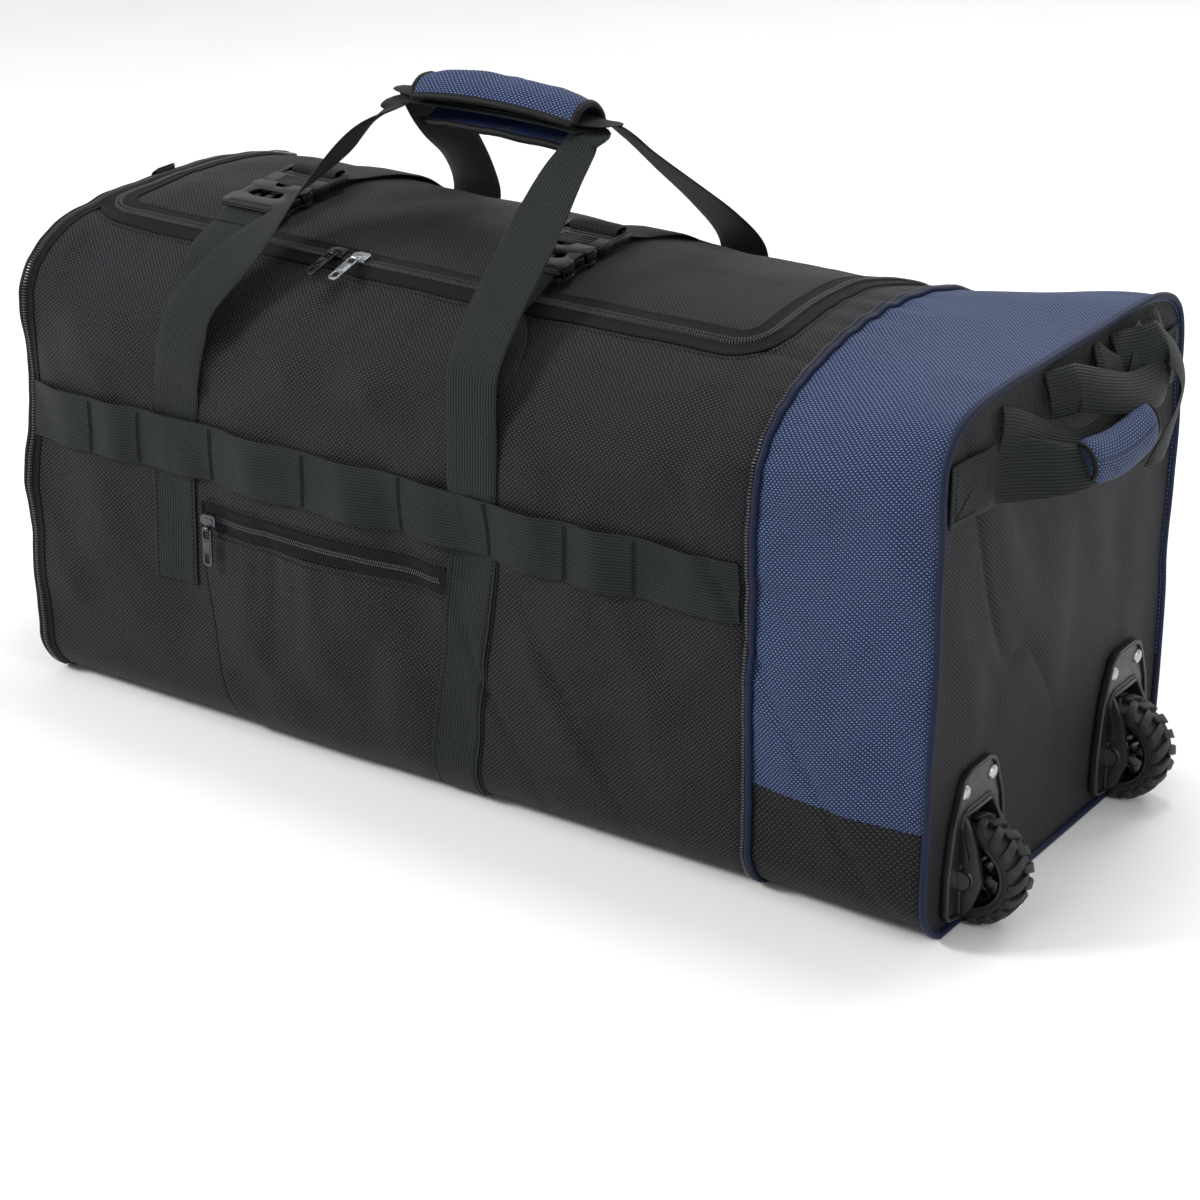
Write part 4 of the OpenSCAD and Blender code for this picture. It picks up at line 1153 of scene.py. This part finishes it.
def plug(tag, at):
    p = Part()
    block = [(-22, 3), (22, 3), (30, 9), (30, 25.6), (-30, 25.6), (-30, 9)]
    p.prism(rounded(block, [3, 3, 4, 1.5, 1.5, 4]), -4.8, 4.8)
    for s in (-1, 1):
        p.prism(rect(s * 26.2, s * 30, 22, 50.6, 1.5), -3.8, 3.8)
    p.prism(rect(-27, 27, 30.2, 35.8, 1.6), -2.9, 2.9)
    p.prism(rect(-27, 27, 44.4, 50.6, 1.8), -3.8, 3.8)
    p.prism(rect(-3.8, 3.8, -36.5, 4, 1.6), -3.2, 3.2)
    for y in (9, 13, 17, 21):
        p.prism(rect(-17, 17, y - 0.8, y + 0.8, 0.7, 2), 4.4, 5.4)
    p.build(f"buckle_plug_{tag}", "plastic", "lid", at, 0.6, ["buckle_plugs"])
    for side, sign in (("near", 1), ("far", -1)):
        node = f"{tag}_prong_{side}"
        shape = rounded([(sign * a, b) for a, b in PRONG], [1, 1.5, 3, 3, 4, 1, 2, 1], 3)
        Part().prism(shape, -3.3, 3.3).build("sprung_" + node, "plastic", node, at, 0.6, [node])


for tag, x, slant in (("left", BUCKLE_X[0], 0.008), ("right", BUCKLE_X[1], 0.022)):
    socket(tag, on_buckle(x))
    plug(tag, on_buckle(x))
    # webbing round the end bar of the plug, over the lid to the hinge
    ring = [(41, -6.4), (39.2, -3), (39.2, 3), (41, 6.2), (47.4, 6.4), (52.4, 4.6), (53.2, 0), (52.4, -4.8),
            (47.4, -6.4)]
    ring = smooth_path([in_buckle(x, a / 1000, b / 1000) for a, b in ring + ring[:1]], 40)[:-1]
    ribbon(f"plug_loop_{tag}", ring, ring - np.mean(ring, 0), STRAP, close=True, body="lid", replaces=["lid_straps"])
    ys = np.linspace(0.050, LID_Y1 - 0.008, 26)
    on_lid, _ = skin(np.full(26, x), np.array([tau_top(x, y) for y in ys]), 0.0018)
    start = np.array([in_buckle(x, 0.047, -0.0062), in_buckle(x, 0.056, -0.0052)])
    line = smooth_path(np.concatenate([start, on_lid[::5], on_lid[-1:]]), 60)
    ribbon(f"lid_strap_{tag}", line, (0, 0.08, 1), STRAP, body="lid")
    # webbing from the socket over the zipper, split between lid and bag
    front = [(x, -y, crown(y) + up) for y, up in OVER_ZIP]
    line = smooth_path([in_buckle(x, -0.0455, 0), in_buckle(x, -0.053, 0)] + front[:2], 24)
    ribbon(f"socket_strap_{tag}", line, (0, -0.2, 1), STRAP, body="lid")
    tail = [skin(x + slant * k, tau_top(x, y), 0.0016)[0] for k, y in ON_FABRIC]
    ribbon(f"buckle_tab_{tag}", smooth_path(front[2:] + tail, 40), (0, -0.35, 1), STRAP, replaces=["buckle_tabs"])

# the fold of fabric the lid turns on
fold = patch("lid_fold", xs_between(LID_X0 + 0.004, LID_X1 - 0.004, 0.004), top_at(LID_Y1 - 0.011),
             top_at(LID_Y1 + 0.008), 9, off=-0.0008, thick=0.0008, tuck=0.0, body=None)
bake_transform(fold)

# ---------------------------------------------------------------- carry loops
GRIP = np.array(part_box("grip_wrap"), float)
GRIP_X0, GRIP_X1 = GRIP[0][0], GRIP[1][0]
GRIP_Z = (GRIP[0][2] + GRIP[1][2]) / 2
# how each leg climbs: share of its way along x, y and z, None being just under the grip's height
CLIMB = ((0.10, 0.1975, 0.392), (0.30, 0.160, 0.427), (0.52, 0.108, 0.466), (0.74, 0.058, 0.503),
         (0.90, 0.022, None))
# the way its face looks at those points, for (side, leg), the far leg being 0
TWIST = {(-1, 0): [(0, -.72, .69), (-.12, -.62, .78), (-.62, -.22, .75), (-.80, -.02, .60), (-.35, -.05, .94)],
         (-1, 1): [(0, -.72, .69), (.04, -.64, .77), (.10, -.62, .78), (.25, -.60, .76), (.35, -.30, .89)],
         (1, 0): [(0, .72, .69), (-.08, .62, .78), (-.35, .50, .79), (-.50, .35, .79), (-.20, .10, .97)],
         (1, 1): [(0, .72, .69), (.06, .62, .78), (.16, .60, .78), (.22, .40, .89), (.10, .10, .99)]}
LEG_WIDTH = (0.048, 0.048, 0.047, 0.043, 0.036), (0.048, 0.048, 0.046, 0.036, 0.027)

for (s, tag), lift_z in zip(SIDES, (0.0, 0.0044)):
    rows = []
    for leg, (xf, top_x) in enumerate(((far_x, GRIP_X0 - 0.020), (near_x, GRIP_X1 + 0.012))):
        part = []
        inward = 1 - 1.4 * leg
        for z, shift in zip((0.268, 0.292, 0.315, 0.338), (0.0, 0.003, 0.008, 0.015)):
            x = float(xf(z)) + shift * inward
            q, m = skin(x, tau_side(x, z, s), 0.0032 + 0.0012 * ease(z, 0.30, 0.34))
            part.append((*q, *m, 0.048))
        xe = float(xf(0.362)) + 0.024 * inward
        part.append((xe, s * 0.2052, 0.3655, 0, s * 0.99, 0.12, 0.048))
        top_z = GRIP_Z - 0.001 + lift_z
        for (k, y, z), up, w in zip(CLIMB, TWIST[(s, leg)], LEG_WIDTH[leg]):
            z = top_z - 0.008 if z is None else z
            part.append((xe + (top_x - xe) * k, s * y, z + lift_z * k, *up, w))
        part.append((top_x + (0.012 if leg == 0 else -0.012), s * 0.003, top_z, 0, 0, 1, 0.032))
        rows += part if leg == 0 else part[::-1]
    o = sweep(f"carry_loop_{tag}", rows, 260, body=None, replaces=[f"{tag}_handle_loop"])
    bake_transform(o)


def grip_sheet(name, r_out, thick, mat, a0, a1, inset, **what):
    """A layer of the wrap round both loops, between two angles, with its ends drawn in."""
    arch = 0.006
    us = np.linspace(0, 1, 70)[:, None]
    an = np.radians(np.linspace(a0, a1, 56))[None, :]
    x0, x1 = GRIP_X0 - inset, GRIP_X1 + inset
    x = x0 + (x1 - x0) * us + 0 * an
    end = 1 - 0.16 * (2 * us - 1) ** 6
    soft = 1 + 0.05 * noise(x * 40, an * 1.3, r_out * 300) + 0.02 * noise(x * 110, an * 4, 3.3)
    r = r_out * end * soft
    cz = GRIP_Z - 0.001 + arch * (1 - (2 * us - 1) ** 2)
    nrm = np.stack([0 * x, np.cos(an) + 0 * x, np.sin(an) + 0 * x], -1)
    pts = np.stack([x, r * np.cos(an) * 1.02, cz + r * np.sin(an) * 0.92], -1)
    uv = np.stack([x, an * r_out + 0 * x], -1)
    return solid_sheet(name, pts, nrm, uv, thick, mat, body="rear_handle", **what), pts


wrap, outer = grip_sheet("carry_grip", 0.0262, 0.0030, "blue", -118, 160, 0.006, replaces=["grip_wrap"])
grip_sheet("carry_grip_lining", 0.0232, 0.0016, "lining", -117, 159, 0.005)
edges = {"edge_low": outer[:, 0], "edge_high": outer[:, -1], "end_far": outer[0], "end_near": outer[-1]}
for tag, line in edges.items():
    line = line + (np.array([0, 0, GRIP_Z]) - line) * np.array([0, 0.06, 0.06])
    tube(f"carry_grip_{tag}", line, 0.0033, "black_piping", body="rear_handle", seg=12)


# ---------------------------------------------------------------- lift handles at both ends
def lift_handle(tag, face, body_z, droop):
    """Webbing sewn on an end face, standing out from it with a padded grip in the middle."""
    s, x0 = face.out, face.x
    half = [tuple(face.at(y, body_z, 0.0024)) + (s, 0, 0, 0.048) for y in (-0.190, -0.165, -0.140, -0.122)]
    half += [(x0 + s * 0.020, -0.098, body_z - droop * 0.3, s * .82, -.50, .20, 0.045),
             (x0 + s * 0.038, -0.072, body_z - droop * 0.7, s * .80, -.40, .42, 0.036),
             (x0 + s * 0.0455, -0.045, body_z - droop, s * .90, -.10, .40, 0.030),
             (x0 + s * 0.0465, 0.0, body_z - droop * 1.15, s * .92, 0, .38, 0.030)]
    other = [(a, -b, c, d, -e, f, w) for a, b, c, d, e, f, w in half[:-1]][::-1]
    sweep(f"lift_handle_{tag}", half + other, 200, replaces=[f"{tag}_end_handle"])
    # box stitching with a cross on each anchor
    lines = []
    a, b, c, d = 0.184, 0.142, body_z - 0.019, body_z + 0.019
    for sy in (-1, 1):
        for run in ([(a, c), (b, c), (b, d), (a, d), (a, c), (b, d)], [(a, d), (b, c)]):
            q = np.concatenate([np.linspace(p, r, 12)[:-1] for p, r in zip(run, run[1:])] + [[run[-1]]])
            pts = face.at(q[:, 0] * sy, q[:, 1], 0.0037)
            lines.append((pts, np.tile([s, 0.0, 0.0], (len(pts), 1))))
    stitch(f"lift_handle_stitches_{tag}", lines, 0.0036, (0.0026, 0.0009, 0.0008))
    # padded grip, leaning out at the top
    n, k, lean = 60, 40, 0.40
    u = np.linspace(-1, 1, n)[:, None]
    a = np.linspace(0, 2 * math.pi, k, endpoint=False)[None, :]
    end = (1 - 0.45 * np.abs(u) ** 14)
    soft = 1 + 0.06 * noise(u * 3 + x0 * 9, np.cos(a) * 1.5, np.sin(a) * 1.5)
    dx, dz = 0.0098 * end * soft * np.cos(a), 0.0185 * end * soft * np.sin(a)
    curve = 0.006 * (u ** 2)
    y = 0.056 * u + 0 * a
    cx = x0 + s * (0.0465 - 0.5 * curve)
    pts = np.stack([cx + s * (dx * math.cos(lean) - dz * math.sin(lean)), y,
                    body_z - droop * 1.15 + curve + dx * math.sin(lean) + dz * math.cos(lean)], -1)
    uv = np.stack([y, a * 0.015 + 0 * y], -1)
    grip = make(f"lift_grip_{tag}", pts.reshape(-1, 3), grid_faces(n, k, wrap_r=True) + end_caps(n, k), "blue",
                uv.reshape(-1, 2), replaces=[f"{tag}_end_grip"])
    for e, i in (("a", 1), ("b", n - 2)):
        tube(f"lift_grip_binding_{tag}_{e}", pts[i], 0.0020, "black_piping", closed=True, seg=8)


lift_handle("wheel", END, 0.370, 0.010)
lift_handle("far", FAR, 0.350, 0.008)

# ---------------------------------------------------------------- tow strap bunched over the wheel end handle
# rows of (distance out, y, z, up x, up y, up z, width)
TOW = {
    "loop": [(.003, -.122, .412, 1, 0, .1, .036), (.008, -.100, .404, .9, -.2, .3, .036),
             (.018, -.062, .386, .8, -.3, .5, .034), (.026, -.022, .374, .7, -.1, .7, .032),
             (.028, .020, .372, .7, .1, .7, .031), (.027, .056, .384, .7, .3, .6, .032),
             (.020, .084, .404, .9, .3, .4, .035), (.010, .104, .420, 1, 0, .2, .036)],
    "cross": [(.004, -.050, .428, .9, 0, .3, .036), (.014, -.026, .420, .9, -.1, .3, .036),
              (.026, .010, .408, .8, -.2, .4, .034), (.033, .050, .398, .8, .1, .5, .032),
              (.032, .090, .394, .8, .3, .3, .033), (.022, .122, .402, .9, .3, .2, .036),
              (.008, .142, .412, 1, .2, 0, .036)],
    "end": [(.005, .062, .432, .9, 0, .5, .038), (.020, .086, .430, .9, .1, .4, .038),
            (.029, .112, .414, .8, .4, .3, .036), (.030, .136, .388, .9, .5, .1, .034),
            (.024, .148, .356, 1, .3, .1, .034), (.014, .152, .322, 1, .1, 0, .036),
            (.007, .152, .300, 1, 0, 0, .036)],
    "fold": [(.004, .030, .424, .9, 0, .4, .034), (.014, .050, .404, 1, .1, .2, .038),
             (.018, .084, .388, .9, .3, .3, .040), (.016, .120, .398, .9, 0, .5, .038),
             (.004, .146, .424, 1, 0, .2, .034)]}


def under_band(path):
    """Keeps the strap below the edge of the blue band, which it would cut when it is lifted."""
    path[:, 0] += 0.002
    path[:, 2] = np.minimum(path[:, 2] - 0.010, 0.4265 - 0.56 * path[:, 6] * np.clip(path[:, 3], 0, 1))


for tag, rows in TOW.items():
    sweep(f"tow_strap_{tag}", [(END_X + out, *rest) for out, *rest in rows], 90, under_band, body="tow_strap",
          curl=0.003, replaces=["tow_strap"] if tag == "loop" else ())

# ---------------------------------------------------------------- far end: D-ring tab, mesh pocket
tab = [(-.0005, .425), (-.0062, .4205), (-.0085, .413), (-.0072, .4072), (-.0035, .4062), (-.0012, .410),
       (-.0006, .424)]
path = smooth_path([(FAR_X + x, 0, z) for x, z in tab], 40)
ribbon("ring_tab", path, path - np.array([FAR_X - .0035, 0, .413]), 0.024, thick=0.0014, replaces=["d_ring_tab"])
FAR.sheet("knitted_pocket", np.linspace(-0.165, 0.165, 90), np.linspace(0.060, 0.256, 60), 0.0036, 0.0012, "mesh",
          puff=0.006, replaces=["mesh_pocket"])
for tag, y0, y1 in (("left", -0.168, -0.156), ("right", 0.156, 0.168)):
    FAR.sheet(f"pocket_binding_{tag}", np.linspace(y0, y1, 4), np.linspace(0.058, 0.258, 50), 0.0046, 0.0014, "tape",
              turn=True, slot="webbing")
FAR.sheet("pocket_binding_low", np.linspace(-0.168, 0.168, 60), np.linspace(0.056, 0.068, 4), 0.0046, 0.0014, "tape",
          slot="webbing")
FAR.sheet("mesh_pocket_tape", np.linspace(-0.168, 0.168, 70), np.linspace(0.2583, 0.282, 8), 0.0034, 0.0012, "tape",
          replaces=["mesh_pocket_zipper"])


def far_at(z, off):
    """Points and normals along the mesh pocket at height z."""
    ys = np.linspace(-0.163, 0.163, 120)
    return FAR.at(ys, np.full(120, z), off), np.tile([-1.0, 0, 0], (120, 1))


beads("mesh_pocket_coil", coil_rows(lambda dz: far_at(MESH_ZIP_Z + dz, 0.0040)), (0.0012, 0.0026, 0.0018))
stitch("mesh_pocket_stitches", [far_at(z, 0.0037) for z in (0.2605, 0.2795)])

# ---------------------------------------------------------------- wheel housings
AX, WY, AZ = WHEEL
PLATE = [(25, 134), (40, 94), (47, 52), (47, 16), (24.6, 12), (24.6, 100)]
PLATE_R = [17, 14, 14, 9, 2, 9]
CHEEK = [(402, 3.2), (446, 3.2), (464, 20), (473, 44), (466, 76), (454, 99), (402, 99)]
RIVET = [(0.05, 453.4), (6.2, 453.4), (6.2, 454.6), (5.0, 455.9), (2.6, 456.6), (0.05, 456.8)]
for s, tag in SIDES:
    at = Matrix.Translation((0, s * WY, 0))
    p = Part()
    outline = [(-25, 134)] + PLATE + [(-a, b) for a, b in PLATE[:0:-1]]
    outline = rounded(outline, PLATE_R[:1] + PLATE_R + PLATE_R[:0:-1], 6)
    p.prism(outline, 449.6, 453.8, axis=0)
    cheek = rounded(CHEEK, [1, 10, 12, 14, 14, 8, 1], 5)
    for c in (-1, 1):
        p.prism(cheek, c * 20.3, c * 24.2, axis=1)
        boss = ((0.1, 24.0), (10.5, 24.0), (9.4, 26.0), (7.9, 26.2), (7.9, 25.2), (0.1, 25.2))
        p.lathe([(r, c * h) for r, h in boss], 32, 1, (AX * 1000, 0, AZ * 1000))
        p.prism(rounded([(453.6, 56), (462, 62), (453.6, 92)], [0.5, 3, 0.5], 3), c * 24, c * 27, axis=1)
    p.prism(rect(402, 456, -20.5, 20.5, 1), 95.4, 99)
    p.prism(rect(-20.5, 20.5, 3.2, 96, 1), 402, 405.6, axis=0)
    p.build(f"housing_{tag}", "housing", "bag", at, 0.9, ["wheel_housings"])
    # outer rim from one foot over the top to the other
    rim = sorted((q for q in outline if abs(q[0]) > 25.5 or q[1] > 104),
                 key=lambda q: (math.atan2(q[1] - 60, q[0]) + math.pi / 2) % (2 * math.pi))
    rim = [(0.4542, s * WY + (y * 0.955) / 1000, (z - (1.6 if z > 100 else 0)) / 1000) for y, z in rim]
    tube(f"housing_rim_{tag}", rim, 0.0019, "housing")
    lip = rounded([(24.6, 14), (24.6, 100), (-24.6, 100), (-24.6, 14)], [0.1, 9, 9, 0.1], 6)
    tube(f"housing_lip_{tag}", [(0.4538, s * WY + y / 1000, z / 1000) for y, z in lip], 0.0015, "housing")
    p = Part()
    for y in (-22, 22):
        p.lathe(RIVET, 32, 0, (0, y, 117))
        p.lathe([(0.05, 440.4), (7.4, 440.4), (7.4, 442), (0.05, 442)], 24, 0, (0, y, 117))
        p.lathe([(0.05, 441.8), (2.5, 441.8), (2.5, 453.6), (0.05, 453.6)], 16, 0, (0, y, 117))
    p.build(f"rivets_{tag}", "nickel", "bag", at, 0.0, ["housing_rivets"])

# ---------------------------------------------------------------- wheels
# profiles of (radius, distance from the middle), the second halves mirrored
TREAD = [(29.6, -15.5), (34, -16.4), (37.6, -15.0), (39.4, -10)]
LUG = [(-1.6, 38.6), (-1.6, 43.9), (6, 44.1), (12, 43.4), (16.4, 40.6), (17.4, 35.4), (15.2, 34.0), (13, 37)]
SPOKE = ((9.5, 3.4, 11.5), (17.5, 2.2, 9.0), (26.0, 3.6, 12.0))
LUGS, SPOKES = 18, 8
PITCH = 2 * math.pi / LUGS


def lug(base, side):
    """One tread block from its leading to its trailing edge, slanted away from the middle."""
    verts = []
    for k, share in enumerate((0.00, 0.52)):
        for y, r in LUG:
            lean = 0.34 * max(y, 0) / 17
            wedge = 0.10 * (1 - max(y, 0) / 17) * (1 if k else -1)
            a = base + PITCH * (share + lean - wedge * 0.5 + (0.06 if k and y > 10 else 0))
            verts.append((r * math.sin(a), side * y, r * math.cos(a)))
    return verts, grid_faces(2, 8, wrap_r=True) + [tuple(range(8)), tuple(range(15, 7, -1))]


def spoke(a):
    c, d = math.cos(a), math.sin(a)
    verts = []
    for r, w, h in SPOKE:
        for sx, sy in ((-1, -1), (1, -1), (1, 1), (-1, 1)):
            z = sx * w * 0.62
            verts.append((r * c - z * d, sy * h, r * d + z * c))
    return verts, grid_faces(3, 4, wrap_r=True) + [(3, 2, 1, 0), (8, 9, 10, 11)]


for s, tag in SIDES:
    wheel = f"{tag}_wheel"
    at = Matrix.Translation((AX, s * WY, AZ)) @ Matrix.Rotation(0.0 if s < 0 else 0.11, 4, "Y")
    mirrored = [(r, -h) for r, h in TREAD[::-1]]
    Part().lathe(TREAD + [(39.8, 0)] + mirrored + [(29.2, 0)], 72, 1).build(
        f"tyre_body_{tag}", "rubber", wheel, at, 0.0, [f"{tag}_tyre"])
    p = Part()
    for side in (-1, 1):
        for i in range(LUGS):
            p.add(*lug((i + (0.5 if side > 0 else 0)) * PITCH, side))
    p.build(f"tyre_lugs_{tag}", "rubber", wheel, at, 0.7)
    p = Part()
    p.lathe([(24.6, -13), (27, -15.6), (30.2, -15.2), (30.2, 15.2), (27, 15.6), (24.6, 13), (25.4, 0)], 64, 1)
    p.lathe([(7.05, -15.5), (10.2, -15.5), (11.6, -12), (11.6, 12), (10.2, 15.5), (7.05, 15.5)], 48, 1)
    for i in range(SPOKES):
        p.add(*spoke(i * math.pi / 4))
    p.build(f"wheel_hub_{tag}", "plastic", wheel, at, 0.5, [f"{tag}_hub"])


# ---------------------------------------------------------------- floor, light and camera
FLOOR = 9.0
AZIMUTH, ELEVATION, DISTANCE = math.radians(33.9), math.radians(23.8), 2.852
TARGET = Vector((0.0143, 0.0063, 0.112))
SENSOR = 36.0
FOCAL_PX, IMAGE_PX = 3300, 1200
# place, what it points at, size and power
LIGHTS = {"key": ((-2.1, -2.0, 2.0), (0, 0, 0.2), 0.8, 84), "fill": ((2.7, -1.0, 1.5), (0.1, 0, 0.2), 1.0, 22),
          "top": ((0.1, 0.7, 2.8), (0, 0, 0.2), 1.0, 34), "rim": ((0.6, 2.6, 1.9), (0, 0, 0.3), 1.5, 30)}


def stage_and_camera():
    scene = bpy.context.scene
    me = bpy.data.meshes.new("floor")
    corners = ((-1, -1), (1, -1), (1, 1), (-1, 1))
    me.from_pydata([(x * FLOOR, y * FLOOR, 0) for x, y in corners], [], [(0, 1, 2, 3)])
    floor = bpy.data.objects.new("floor", me)
    m = Nodes("pale_floor")
    col = m.ramp(m.noise(3.0, 2.0), [(0.3, (0.90, 0.90, 0.90, 1)), (0.7, (0.93, 0.93, 0.93, 1))])
    m.finish(col, 0.85, Specular_IOR_Level=0.1)
    me.materials.append(m.mat)
    scene.collection.objects.link(floor)
    floor.location.z = -0.0004
    scene.world = bpy.data.worlds.new("studio")
    scene.world.use_nodes = True
    sky = scene.world.node_tree.nodes["Background"].inputs
    sky[0].default_value, sky[1].default_value = (1, 1, 1, 1), 0.55
    for name, (loc, target, size, power) in LIGHTS.items():
        light = bpy.data.lights.new(name, "AREA")
        light.shape, light.size, light.energy = "SQUARE", size, power
        lamp = bpy.data.objects.new(name, light)
        lamp.location = loc
        lamp.rotation_euler = (Vector(target) - Vector(loc)).to_track_quat("-Z", "Y").to_euler()
        scene.collection.objects.link(lamp)
    level = math.cos(ELEVATION)
    back = Vector((math.sin(AZIMUTH) * level, -math.cos(AZIMUTH) * level, math.sin(ELEVATION)))
    cam = bpy.data.cameras.new("camera")
    cam.sensor_width, cam.lens, cam.clip_end = SENSOR, SENSOR * FOCAL_PX / IMAGE_PX, 50
    camera = bpy.data.objects.new("camera", cam)
    camera.location = TARGET + back * DISTANCE
    camera.rotation_euler = back.to_track_quat("Z", "Y").to_euler()
    scene.collection.objects.link(camera)
    scene.camera = camera
    scene.view_settings.view_transform = "Standard"


stage_and_camera()
# the CAD nodes that stay in view
for name, mat in (("wheel_axles", "steel"), ("base_boards", "board"), ("wheel_end_board", "board"),
                  ("d_ring", "plastic"), ("front_bush", "plastic"), ("rear_bush", "plastic")):
    looks = bpy.data.objects[name].data.materials
    looks.clear()
    looks.append(M[mat])
